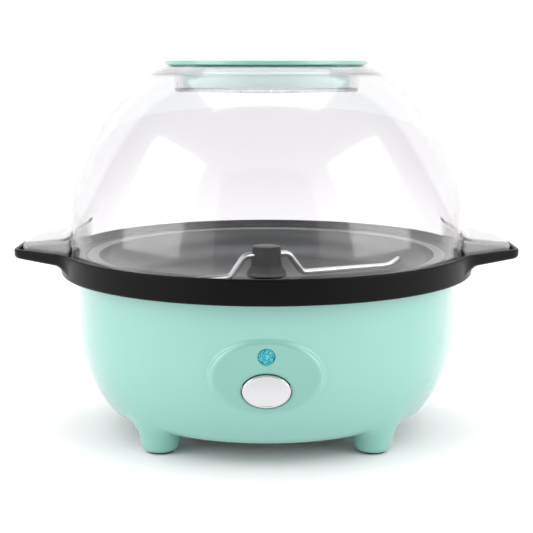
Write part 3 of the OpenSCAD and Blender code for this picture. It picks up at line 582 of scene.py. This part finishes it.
def ear_rows(i):
    """(x, z) down the middle of a grip's outside, moved inwards by i, from the bottom up."""
    rows = [(EAR_X + EAR_ROUND - i, z) for z in np.linspace(LEDGE_Z, EAR_TOP_Z, 6)]
    rows += [(EAR_X + (EAR_ROUND - i) * math.cos(a), EAR_TOP_Z + (EAR_ROUND - i) * math.sin(a))
             for a in RAD(1) * np.linspace(8, 79.2, 10)]
    root = [(EAR_ROOT[0] + (EAR_FILLET + i) * math.cos(a), EAR_ROOT[1] + (EAR_FILLET + i) * math.sin(a))
            for a in RAD(1) * np.linspace(259.2, 188, 14)]
    rows += [tuple(p) for p in np.linspace(rows[-1], root[0], 11)[1:-1]]
    return rows + root


def dome_outside(theta, row, core, inset=0.0):
    """Radius at each angle for one row (x, z) of a grip, over the round dome's radius core."""
    along = np.abs(np.cos(theta))
    across = np.where(along > 0.5, row[0] / np.maximum(along, 0.5), 0.0)
    ear = soft_min(handle_radius(theta, EAR_GAP + inset), across, 3.5 - 0.6 * inset)
    return soft_max(np.full(np.shape(theta), core), np.maximum(ear, 0), 3.0 if inset == 0 else 1.5)


def build_dome():
    theta = angles(0.5, 1.5, 32)
    count = len(theta)
    rings = []
    lower = ear_rows(0.0)
    top_x, top_z = lower[-1]
    for n, row in enumerate(lower):
        z = row[1]
        r = dome_outside(theta, row, float(dome_radius(z)))
        on_ear = r > dome_radius(z) + 1.5
        zs = np.full(len(theta), z)
        if n == 0:
            zs = np.where(on_ear, 110.4, z)
            r = r - 0.35
        elif n == 1:
            zs = np.where(on_ear, 110.75, 110.35)
        rings.append(np.c_[r * np.cos(theta), r * np.sin(theta), zs])
    for z in np.r_[top_z + np.array((1.0, 2.2, 3.6)), np.linspace(top_z + 6, 221.5, 34)]:
        core = float(dome_radius(z))
        r = dome_outside(theta, (top_x, z), core) if z < 138 else np.full(count, core)
        rings.append(np.c_[r * np.cos(theta), r * np.sin(theta), np.full(count, z)])
    deck, below = RECESS_Z, RECESS_Z - 2.5
    crown = [(66.9, 222.35), (65.6, 223.1), (63.9, 223.7), (61.6, DOME_TOP), (57.2, 223.3), (55.4, 222.75),
             (54.5, 221.9), (RECESS_R, 220.6), (RECESS_R, 212.6), (53.5, 211.5)]
    crown += [(r, deck) for r in (52.4, 47.5, 40, 20, 2)]
    under = [(r, below) for r in (2, 20, 40, 47.5, 54.4)]
    under += [(55.8, 208.9), (56.4, 210.0), (56.4, 218.4), (56.9, 219.8), (58.4, 220.6), (60.4, 220.7)]
    inner = [(float(dome_radius(z, DOME_T)), z) for z in np.linspace(219.8, 110.5, 40)]
    first_under = (len(rings) + len(crown)) * count
    last_top = first_under - count
    for r, z in crown + under + inner + [(inner[-1][0] + 0.35, LEDGE_Z)]:
        rings.append(np.c_[r * np.cos(theta), r * np.sin(theta), np.full(count, z)])
    # the recess floor is two discs, and not a sleeve between its top and its underside
    verts, faces = loft(rings, closed=True)
    faces = [f for f in faces if not (min(f) >= last_top and first_under <= max(f) < first_under + count)]
    faces.append(tuple(last_top + i for i in range(count)))
    faces.append(tuple(first_under + i for i in range(count - 1, -1, -1)))
    obj = make("clear_dome", verts, faces)
    pocket = []
    for row in [(EAR_X + 1.0, 109.0)] + ear_rows(EAR_T):
        r = dome_outside(theta, row, float(dome_radius(row[1])) - 1.2, EAR_T)
        pocket.append(np.c_[r * np.cos(theta), r * np.sin(theta), np.full(count, row[1])])
    wall = [(0, 105)] + [(float(dome_radius(z)), z) for z in np.linspace(107, 135, 40)] + [(0, 137)]
    tool = make("pockets", *loft(pocket))
    cut(tool, lathe(wall, 288))
    cut(obj, taken(tool))
    vents = []
    for r, turn in VENT_ROWS:
        for a in RAD(1) * (VENT_STEP * np.arange(360 // VENT_STEP) + turn):
            vents.append(rod(1.0, 206, 213, r * math.cos(a), r * math.sin(a), segments=24))
    cut(obj, merged(*vents), smooth=32)
    return obj


# ---------------------------------------------------------------- smaller pieces
def build_cap():
    profile = rounded([(0, 227.4), (62, 227.4), (62, 225.0), (51.5, 222.5), (51.5, 211.0), (49.5, 211.0),
                       (49.5, 225.0), (0, 225.0)], [0, 0.6, 0.4, 1.2, 0.4, 0.4, 1.5, 0], 5)
    return make("cap_disc", *lathe(profile, 256))


def arc_points(c, r, a0, a1, n):
    return [(c[0] + r * math.cos(a), c[1] + r * math.sin(a)) for a in np.linspace(a0, a1, n)]


def build_pan():
    c = (PAN_FLAT, PAN_Z + PAN_ARC)
    top = math.asin((LEDGE_Z - c[1]) / PAN_ARC)
    low = math.asin((108.0 - c[1]) / (PAN_ARC + PAN_T))
    profile = [(5.0, 84.0), (5.0, 96.2), (5.3, 96.5), (7.1, 96.5), (7.5, 96.1)]
    profile += [(8.6, 93.0), (9.2, 92.3), (10.2, 92.0)] + [(r, 92.0) for r in (20, 40, 60, 78)]
    profile += arc_points(c, PAN_ARC, -math.pi / 2, top - 0.02, 18)
    profile += [(105.2, 110.0), (110.8, 110.0), (111.2, 109.6), (111.2, 108.0)]
    profile += arc_points(c, PAN_ARC + PAN_T, low, -math.pi / 2, 14)
    profile += [(73.0, 89.5), (73.0, 86.2), (72.7, 85.9)]
    profile += arc_points((66.0, 85.9), 4.1, 0.0, math.pi, 13)
    profile += [(59.3, 85.9), (59.0, 86.2), (59.0, 89.5), (9.0, 89.5), (9.0, 84.0)]
    obj = make("pan_coated", *lathe(profile, 240), smooth=32)
    for x, y in around(TIE_R, TIE_ANGLES):
        cut(obj, rod(5, 70.5, 90.9, x, y), "UNION")
        cut(obj, rod(2, 69, 86, x, y))
    for x, y in around(BOSS_R, BOSS_ANGLES):
        cut(obj, rod(5, 80, 90.8, x, y), "UNION")
        cut(obj, rod(2, 79, 88, x, y), smooth=32)
    return obj


def build_hub():
    profile = rounded([(0, 113), (9.0, 113), (9.0, 111), (9.8, 101), (12.6, 96), (12.6, 94), (10.4, 94), (10.4, 98.7),
                       (0, 98.7)], [0, 2.0, 0, 2.5, 0.8, 0.3, 0.3, 0.5, 0], 6)
    obj = make("stirrer_hub_moulding", *lathe(profile, 96))
    bore = make("bore", *rod(3.05, 98.0, 104.3, segments=64))
    cut(bore, block(2.25, 7.25, -5, 5, 99, 111))
    cut(obj, taken(bore))
    return cut(obj, moved(yrod(2.05, -20, 20, 107.5, 40), turn=STIR_A - math.pi / 2))


def sweep(path, radius, sides=20):
    path = np.asarray(path, float)
    tangent = np.gradient(path, axis=0)
    tangent /= np.linalg.norm(tangent, axis=1)[:, None]
    side = np.array((-math.sin(STIR_A), math.cos(STIR_A), 0.0))
    rings = []
    for p, t, r in zip(path, tangent, radius):
        up = np.cross(t, side)
        c = circle_points(sides, r)
        rings.append(p + c[:, :1] * side + c[:, 1:] * up)
    return loft(rings)


def build_rod():
    tip = PAN_ARC - 2.0 - 0.6
    low = PAN_Z + 2.6
    half = [(15, 107.5), (25, low), (PAN_FLAT, low)]
    half += arc_points((PAN_FLAT, 112.0), tip, RAD(-80), RAD(-46), 8)
    points = [(-x, z) for x, z in half[::-1]] + half
    dense = [np.array(points[0])]
    for i in range(1, len(points) - 1):
        p, a, b = (np.array(points[j], float) for j in (i, i - 1, i + 1))
        reach = min(3.0, 0.45 * np.linalg.norm(a - p), 0.45 * np.linalg.norm(b - p))
        p0, p1 = p + reach * (a - p) / np.linalg.norm(a - p), p + reach * (b - p) / np.linalg.norm(b - p)
        for t in np.linspace(0, 1, 8 if reach > 2.5 else 3):
            dense.append((1 - t) ** 2 * p0 + 2 * t * (1 - t) * p + t * t * p1)
    dense.append(np.array(points[-1]))
    flat = np.array(dense)
    path = np.c_[flat[:, 0] * math.cos(STIR_A), flat[:, 0] * math.sin(STIR_A), flat[:, 1]]
    radius = np.full(len(path), 2.0)
    first, last = path[0] - path[1], path[-1] - path[-2]
    first, last = first / np.linalg.norm(first), last / np.linalg.norm(last)
    steps = np.linspace(0.15, 1, 5)
    round_r = [2.0 * math.sqrt(1 - 0.72 * s ** 3) for s in steps]
    path = np.r_[[path[0] - first * 1.2 * (1 - s) for s in steps[::-1]], path[1:-1],
                 [path[-1] - last * 1.2 * (1 - s) for s in steps]]
    radius = np.r_[round_r[::-1], radius[1:-1], round_r]
    return make("stirring_rod_wire", *sweep(path, radius), smooth=50)


def build_button():
    n = 96
    ring = circle_points(n)

    def oval(grow, u, scale=1.0):
        return from_panel(ring[:, 0] * (BUTTON_A + grow) * scale, BUTTON_V + ring[:, 1] * (BUTTON_B + grow) * scale,
                          np.full(n, float(u)) if np.ndim(u) == 0 else u)

    def round_at(r, u):
        return from_panel(ring[:, 0] * r, BUTTON_V + ring[:, 1] * r, np.full(n, float(u)))

    rings = []
    for s in (0.02, 0.15, 0.3, 0.45, 0.6, 0.72, 0.82):
        rings.append(oval(0, -1.15 + 1.25 * (1 - (s / 0.86) ** 2), s))
    rings.append(oval(0, -1.1, 0.865))
    rings.append(oval(-1.15, -1.2))
    for k in range(7):
        a = RAD(15 * k)
        rings.append(oval(-0.9 + 0.9 * math.sin(a), -0.3 - 0.9 * math.cos(a)))
    rings += [oval(0, 2.0), oval(0, 4.2), oval(1.6, 4.2), oval(1.6, 5.8), round_at(8.0, 5.8), round_at(8.0, 2.0),
              round_at(4.5, 2.0), round_at(4.5, 5.8), round_at(3.0, 5.8), round_at(3.0, 20.6), round_at(2.6, 21.0)]
    return make("power_button_cap", *loft(rings), smooth=40)


def build_lens():
    """A cut jewel: rings of points turned by half a step, so that every facet is a flat triangle."""
    levels = [(0.0, -0.75, 1), (1.15, -0.62, 6), (2.2, -0.3, 12), (3.15, 0.1, 12), (3.9, 0.55, 12)]
    verts, faces, rows = [], [], []
    for m, (r, u, count) in enumerate(levels):
        row = []
        for k in range(count):
            a = 2 * math.pi * (k + 0.5 * (m % 2)) / count
            lift = 0.22 if (m == 2 and k % 2) else 0.0
            row.append(len(verts))
            verts.append(from_panel(np.array([r * math.cos(a)]), np.array([LENS_V + r * math.sin(a)]),
                                    np.array([u + lift]))[0])
        rows.append(row)
    faces += [(rows[0][0], rows[1][k], rows[1][(k + 1) % 6]) for k in range(6)]
    for k in range(6):
        a, b = rows[1][k], rows[1][(k + 1) % 6]
        o = [rows[2][(2 * k + 1) % 12], rows[2][(2 * k + 2) % 12], rows[2][(2 * k + 3) % 12]]
        faces += [(a, o[0], o[1]), (a, o[1], b), (b, o[1], o[2])]
    for m in (2, 3):
        inner, outer = rows[m], rows[m + 1]
        for k in range(12):
            k1 = (k + 1) % 12
            if m % 2 == 0:
                faces += [(inner[k], outer[k], inner[k1]), (outer[k], outer[k1], inner[k1])]
            else:
                faces += [(inner[k], outer[k], outer[k1]), (inner[k], outer[k1], inner[k1])]
    n = 48
    ring = circle_points(n)
    outline = []
    for r, u in ((4.15, 0.5), (4.35, 0.12), (4.5, 0.2), (LENS_R, 0.5), (LENS_R, 4.2), (6.6, 4.2), (6.6, 5.8),
                 (2.8, 5.8), (2.8, 3.2)):
        outline.append(from_panel(ring[:, 0] * r, LENS_V + ring[:, 1] * r, np.full(n, u)))
    body_v, body_f = loft(outline)
    faces.append(tuple(rows[4][::-1]))
    return make("indicator_jewel", *merged((np.array(verts), faces), (body_v, body_f)), smooth=12)


def build_pad(x, y, name):
    profile = rounded([(0, 0), (8, 0), (8, 2.8), (0, 2.8)], [0, 0.9, 0.2, 0], 5)
    dimple = [(0, 0.35), (3.2, 0.35), (3.8, 0.0)]
    return make(name, *moved(lathe(dimple + profile[1:], 64), (x, y, 0)))


def build_gland():
    profile = rounded([(3.6, 102), (6.4, 102), (6.4, 117.5), (9.5, 117.5), (9.5, 120), (8.0, 120), (6.6, 126),
                       (3.6, 126)], [0.3, 0.5, 0, 0.3, 0.7, 0.6, 0.9, 0.7], 4)
    return make("cord_gland_body", *placed(lathe(profile, 96), [[1, 0, 0], [0, 0, 1], [0, -1, 0]], (0, 0, GLAND_Z)))


def build_cover_screws():
    profile = rounded([(0, 11.7), (3, 11.7), (3, 13.5), (1.48, 13.5), (1.48, 24.5), (0, 24.5)],
                      [0, 0.9, 0.1, 0.1, 0.5, 0], 4)
    places = around(COVER_SCREW_R, COVER_SCREW_ANGLES)
    screws = [moved(lathe(profile, 48), (x, y, 0)) for x, y in places]
    obj = make("cover_screws_crosshead", *merged(*screws))
    for x, y in places:
        cut(obj, moved(block(-1.7, 1.7, -0.35, 0.35, 11, 12.7), (x, y, 0)))
        cut(obj, moved(block(-0.35, 0.35, -1.7, 1.7, 11, 12.7), (x, y, 0)))
    return obj


# ---------------------------------------------------------------- materials
def srgb(r, g, b):
    return tuple(((c / 255 + 0.055) / 1.055) ** 2.4 if c > 10.3 else c / 255 / 12.92 for c in (r, g, b)) + (1.0,)


def map_range(nodes, links, value, low, high, to_low, to_high):
    """A Map Range node that reads the value socket."""
    node = nodes.new("ShaderNodeMapRange")
    for socket, number in (("From Min", low), ("From Max", high), ("To Min", to_low), ("To Max", to_high)):
        node.inputs[socket].default_value = number
    links.new(value, node.inputs["Value"])
    return node


def material(name, colour, rough, metal=0.0, coat=0.0, grain=900.0, bump=0.02, vary=0.05, tint=0.04, ior=1.47,
             transmission=0.0, emit=0.0, stretch=(1, 1, 1), subsurface=0.0, coat_rough=0.05, specular=0.5):
    """A Principled material whose colour, roughness and surface vary by noise in object space."""
    mat = bpy.data.materials.new(name)
    mat.use_nodes = True
    nodes, links = mat.node_tree.nodes, mat.node_tree.links
    bsdf = nodes["Principled BSDF"]
    bsdf.inputs["Metallic"].default_value = metal
    bsdf.inputs["IOR"].default_value = ior
    bsdf.inputs["Specular IOR Level"].default_value = specular
    bsdf.inputs["Coat Weight"].default_value = coat
    bsdf.inputs["Coat Roughness"].default_value = coat_rough
    bsdf.inputs["Transmission Weight"].default_value = transmission
    bsdf.inputs["Subsurface Weight"].default_value = subsurface
    bsdf.inputs["Subsurface Radius"].default_value = (0.002, 0.002, 0.002)
    if emit:
        bsdf.inputs["Emission Color"].default_value = colour
        bsdf.inputs["Emission Strength"].default_value = emit
    place = nodes.new("ShaderNodeTexCoord")
    scale = nodes.new("ShaderNodeMapping")
    scale.inputs["Scale"].default_value = stretch
    links.new(place.outputs["Object"], scale.inputs["Vector"])
    fine, broad = nodes.new("ShaderNodeTexNoise"), nodes.new("ShaderNodeTexNoise")
    fine.inputs["Scale"].default_value = grain
    fine.inputs["Detail"].default_value = 3.0
    broad.inputs["Scale"].default_value = 28.0
    broad.inputs["Detail"].default_value = 4.0
    for n in (fine, broad):
        links.new(scale.outputs["Vector"], n.inputs["Vector"])
    spread = map_range(nodes, links, broad.outputs["Fac"], 0.0, 1.0, max(0.0, rough - vary), min(1.0, rough + vary))
    links.new(spread.outputs["Result"], bsdf.inputs["Roughness"])
    shadeof = nodes.new("ShaderNodeMix")
    shadeof.data_type = "RGBA"
    shadeof.inputs["A"].default_value = tuple(c * (1 - tint) for c in colour[:3]) + (1.0,)
    shadeof.inputs["B"].default_value = tuple(min(1.0, c * (1 + tint)) for c in colour[:3]) + (1.0,)
    links.new(broad.outputs["Fac"], shadeof.inputs["Factor"])
    links.new(shadeof.outputs["Result"], bsdf.inputs["Base Color"])
    if bump:
        raised = nodes.new("ShaderNodeBump")
        raised.inputs["Strength"].default_value = bump
        raised.inputs["Distance"].default_value = 0.0002
        links.new(fine.outputs["Fac"], raised.inputs["Height"])
        links.new(raised.outputs["Normal"], bsdf.inputs["Normal"])
    return mat


def paint_panel_shade(mat):
    """Painted shade: a slightly darker colour inside the front panel's oval, by position on the casing, standing in for
    the shade on the panel's face; the plastic there is the same as around it.
    """
    nodes, links = mat.node_tree.nodes, mat.node_tree.links
    bsdf = nodes["Principled BSDF"]
    shade_out = bsdf.inputs["Base Color"].links[0].from_socket
    place = nodes.new("ShaderNodeTexCoord")
    shift, scale, length = (nodes.new("ShaderNodeVectorMath") for _ in range(3))
    shift.operation, scale.operation, length.operation = "SUBTRACT", "MULTIPLY", "LENGTH"
    shift.inputs[1].default_value = (0, -PANEL_Y * MM, PANEL_Z * MM)
    scale.inputs[1].default_value = (1000 / PANEL_A, 6, 1000 / PANEL_B)
    links.new(place.outputs["Object"], shift.inputs[0])
    links.new(shift.outputs[0], scale.inputs[0])
    links.new(scale.outputs[0], length.inputs[0])
    inside = map_range(nodes, links, length.outputs["Value"], 1.0, 0.86, 0.0, 1.0)
    inside.interpolation_type = "SMOOTHSTEP"
    panel_shade_mix = nodes.new("ShaderNodeMix")
    panel_shade_mix.data_type, panel_shade_mix.blend_type = "RGBA", "MULTIPLY"
    # painted shade: inside the panel's oval the casing's colour is multiplied by this darker colour
    panel_shade_mix.inputs["B"].default_value = (0.80, 0.86, 0.84, 1)
    links.new(inside.outputs["Result"], panel_shade_mix.inputs["Factor"])
    links.new(shade_out, panel_shade_mix.inputs["A"])
    links.new(panel_shade_mix.outputs["Result"], bsdf.inputs["Base Color"])


def clear_material(name, colour, rough, see_through=0.96):
    """Clear plastic that lets light through to what is inside it, frosted at the grips and a little at the crown."""
    mat = material(name, colour, rough, grain=60.0, bump=0.012, vary=0.01, tint=0.0, ior=1.25, transmission=1.0,
                   coat=0.9, coat_rough=0.14)
    nodes, links = mat.node_tree.nodes, mat.node_tree.links
    out, bsdf = nodes["Material Output"], nodes["Principled BSDF"]
    place = nodes.new("ShaderNodeTexCoord")
    flat = nodes.new("ShaderNodeVectorMath")
    flat.operation = "MULTIPLY"
    flat.inputs[1].default_value = (1, 1, 0)
    links.new(place.outputs["Object"], flat.inputs[0])
    away = nodes.new("ShaderNodeVectorMath")
    away.operation = "LENGTH"
    links.new(flat.outputs[0], away.inputs[0])
    out_from_axis = away.outputs["Value"]
    rough_at = map_range(nodes, links, out_from_axis, *GRIP_BAND, rough, 0.2)
    links.new(rough_at.outputs["Result"], bsdf.inputs["Roughness"])
    clear_at = map_range(nodes, links, out_from_axis, *GRIP_BAND, 1.0, 0.82)
    height, less = nodes.new("ShaderNodeSeparateXYZ"), nodes.new("ShaderNodeMath")
    links.new(place.outputs["Object"], height.inputs[0])
    crown = map_range(nodes, links, height.outputs["Z"], *CROWN_BAND, 0.0, 0.2)
    less.operation = "SUBTRACT"
    links.new(clear_at.outputs["Result"], less.inputs[0])
    links.new(crown.outputs["Result"], less.inputs[1])
    links.new(less.outputs[0], bsdf.inputs["Transmission Weight"])
    grip = map_range(nodes, links, out_from_axis, *GRIP_BAND, 0.0, 1.0)
    shadeof = nodes.new("ShaderNodeMix")
    shadeof.data_type = "RGBA"
    shadeof.inputs["A"].default_value = colour
    shadeof.inputs["B"].default_value = (0.60, 0.605, 0.61, 1)
    links.new(grip.outputs["Result"], shadeof.inputs["Factor"])
    links.new(shadeof.outputs["Result"], bsdf.inputs["Base Color"])
    path, through, mix = (nodes.new("ShaderNode" + t) for t in ("LightPath", "BsdfTransparent", "MixShader"))
    through.inputs["Color"].default_value = (see_through, see_through, see_through, 1.0)
    links.new(path.outputs["Is Shadow Ray"], mix.inputs[0])
    links.new(bsdf.outputs[0], mix.inputs[1])
    links.new(through.outputs[0], mix.inputs[2])
    links.new(mix.outputs[0], out.inputs["Surface"])
    return mat


def jewel_material(name, dark, pale, cells=1500.0):
    """A lit jewel: many small cells, each with its own tilt and its own shade."""
    mat = material(name, dark, 0.1, grain=900, bump=0.0, vary=0.04, transmission=0.1, ior=1.5, emit=0.06)
    nodes, links = mat.node_tree.nodes, mat.node_tree.links
    bsdf = nodes["Principled BSDF"]
    place, cell, steps = (nodes.new("ShaderNode" + t) for t in ("TexCoord", "TexVoronoi", "ValToRGB"))
    cell.inputs["Scale"].default_value = cells
    links.new(place.outputs["Object"], cell.inputs["Vector"])
    steps.color_ramp.elements[0].position, steps.color_ramp.elements[1].position = 0.25, 0.8
    steps.color_ramp.elements[0].color, steps.color_ramp.elements[1].color = dark, pale
    links.new(cell.outputs["Color"], steps.inputs["Fac"])
    links.new(steps.outputs["Color"], bsdf.inputs["Base Color"])
    raised = nodes.new("ShaderNodeBump")
    raised.inputs["Strength"].default_value = 1.0
    raised.inputs["Distance"].default_value = 0.0003
    links.new(cell.outputs["Distance"], raised.inputs["Height"])
    links.new(raised.outputs["Normal"], bsdf.inputs["Normal"])
    return mat


MATERIALS = {
    "mint_plastic": material("mint_gloss", srgb(122, 177, 165), 0.24, coat=0.8, coat_rough=0.2, grain=1400,
                             bump=0.012, vary=0.012, tint=0.004),
    "black_plastic": material("black_satin", srgb(11, 12, 11), 0.30, grain=2600, bump=0.02, vary=0.03, tint=0.05,
                              specular=0.08),
    "clear_plastic": clear_material("clear_polycarbonate", (0.915, 0.922, 0.928, 1), 0.015),
    "silver_plastic": material("silver_paint", srgb(197, 199, 200), 0.14, metal=0.75, grain=3200, bump=0.03,
                               vary=0.03, tint=0.02),
    "lens_plastic": jewel_material("jewel_blue", srgb(8, 96, 122), srgb(70, 205, 208)),
    "non_stick": material("coated_pan", srgb(46, 46, 48), 0.34, coat=0.15, grain=2600, bump=0.025, vary=0.04,
                          tint=0.06),
    "steel": material("steel", (0.56, 0.57, 0.58, 1), 0.24, metal=1.0, grain=700, bump=0.04, vary=0.06, tint=0.05,
                      stretch=(1, 1, 0.15)),
    "copper_winding": material("copper", (0.72, 0.36, 0.18, 1), 0.35, metal=1.0, grain=1500, bump=0.2,
                               stretch=(1, 1, 6)),
    "gear_nylon": material("nylon", srgb(232, 230, 220), 0.45, grain=1200, bump=0.03, subsurface=0.1),
    "rubber_black": material("rubber", srgb(26, 26, 27), 0.75, grain=1800, bump=0.12, tint=0.1),
    "bronze": material("bronze", (0.62, 0.43, 0.2, 1), 0.32, metal=1.0, grain=900, bump=0.05),
    "ceramic_ivory": material("ceramic", srgb(226, 220, 200), 0.5, grain=1500, bump=0.04),
    "lamp_glass": material("lamp", srgb(235, 190, 150), 0.1, grain=600, bump=0.0, transmission=0.5),
    "silicone_grey": material("silicone", srgb(70, 70, 72), 0.6, grain=1500, bump=0.05),
    "lead_black": material("lead_black", srgb(30, 30, 30), 0.45, grain=1500, bump=0.03),
    "lead_white": material("lead_white", srgb(228, 228, 226), 0.45, grain=1500, bump=0.03),
    "lead_red": material("lead_red", srgb(168, 30, 28), 0.45, grain=1500, bump=0.03),
    "lead_blue": material("lead_blue", srgb(40, 80, 160), 0.45, grain=1500, bump=0.03),
}
# paints shade into the casing's colour inside the front panel's oval
paint_panel_shade(MATERIALS["mint_plastic"])
slot_of = {p["node"]: p["material_slot"] for p in frame["record"]["subparts"]}
for name, obj in frame["nodes"].items():
    obj.data.materials.clear()
    obj.data.materials.append(MATERIALS[slot_of[name]])

# ---------------------------------------------------------------- the visible pieces
for build, body, slot_name, node in (
        (build_casing, "base", "mint_plastic", "housing"),
        (build_ring, "base", "black_plastic", "rim_ring"),
        (build_pan, "base", "non_stick", "heating_pan"),
        (build_dome, "dome", "clear_plastic", "dome"),
        (build_cap, "cap", "mint_plastic", "cap"),
        (build_hub, "stirrer", "black_plastic", "stirrer_hub"),
        (build_rod, "stirrer", "steel", "stirring_rod"),
        (build_button, "button", "silver_plastic", "power_button"),
        (build_lens, "base", "lens_plastic", "indicator_lens"),
        (build_gland, "base", "black_plastic", "cord_gland"),
        (build_cover_screws, "base", "steel", "bottom_cover_screws")):
    finish_piece(build(), body, slot_name, node)
for word, x, y in (("front_left", -1, -1), ("front_right", 1, -1), ("rear_left", -1, 1), ("rear_right", 1, 1)):
    pad = build_pad(x * FOOT_XY, y * FOOT_XY, "rubber_pad_" + word)
    finish_piece(pad, "base", "rubber_black", "foot_pad_" + word)

# ---------------------------------------------------------------- floor, light and camera
scene = bpy.context.scene
floor = make("studio_floor", *block(-9000, 9000, -9000, 9000, -20, 0))
floor.data.materials.append(material("white_floor", (0.93, 0.885, 0.90, 1), 0.6, grain=120, bump=0.0, tint=0.01))
flag = make("flag_behind_camera", *block(-650, 650, -1260, -1250, 0, 1200))
flag.data.materials.append(material("flag_cloth", (0.03, 0.03, 0.03, 1), 0.9, grain=200, bump=0.0))
flag.visible_camera = flag.visible_transmission = flag.visible_diffuse = flag.visible_shadow = False


def softbox(name, at, aim, width, height, power):
    data = bpy.data.lights.new(name, "AREA")
    data.shape, data.size, data.size_y, data.energy = "RECTANGLE", width, height, power
    lamp = bpy.data.objects.new(name, data)
    scene.collection.objects.link(lamp)
    lamp.location = at
    lamp.rotation_euler = (Vector(aim) - Vector(at)).to_track_quat("-Z", "Y").to_euler()


softbox("side_left", (-1.2, -0.55, 0.62), (0, 0, 0.1), 1.0, 1.1, 9)
softbox("side_right", (1.2, -0.55, 0.62), (0, 0, 0.1), 1.0, 1.1, 9)
softbox("top", (0.0, 0.3, 1.6), (0, 0, 0.1), 1.4, 1.2, 9)

world = bpy.data.worlds.new("studio")
world.use_nodes = True
world.node_tree.nodes["Background"].inputs["Color"].default_value = (1, 1, 1, 1)
world.node_tree.nodes["Background"].inputs["Strength"].default_value = 1.15
scene.world = world
scene.view_settings.view_transform = "Standard"
scene.view_settings.exposure = 0.0

cam_data = bpy.data.cameras.new("camera")
cam_data.lens, cam_data.sensor_width = 84.0, 36.0
cam_data.clip_end = 100.0
camera = bpy.data.objects.new("camera", cam_data)
scene.collection.objects.link(camera)
camera.location = (0.0, -0.770, 0.2265)
camera.rotation_euler = (RAD(90 - 9.34), 0, 0)
scene.camera = camera
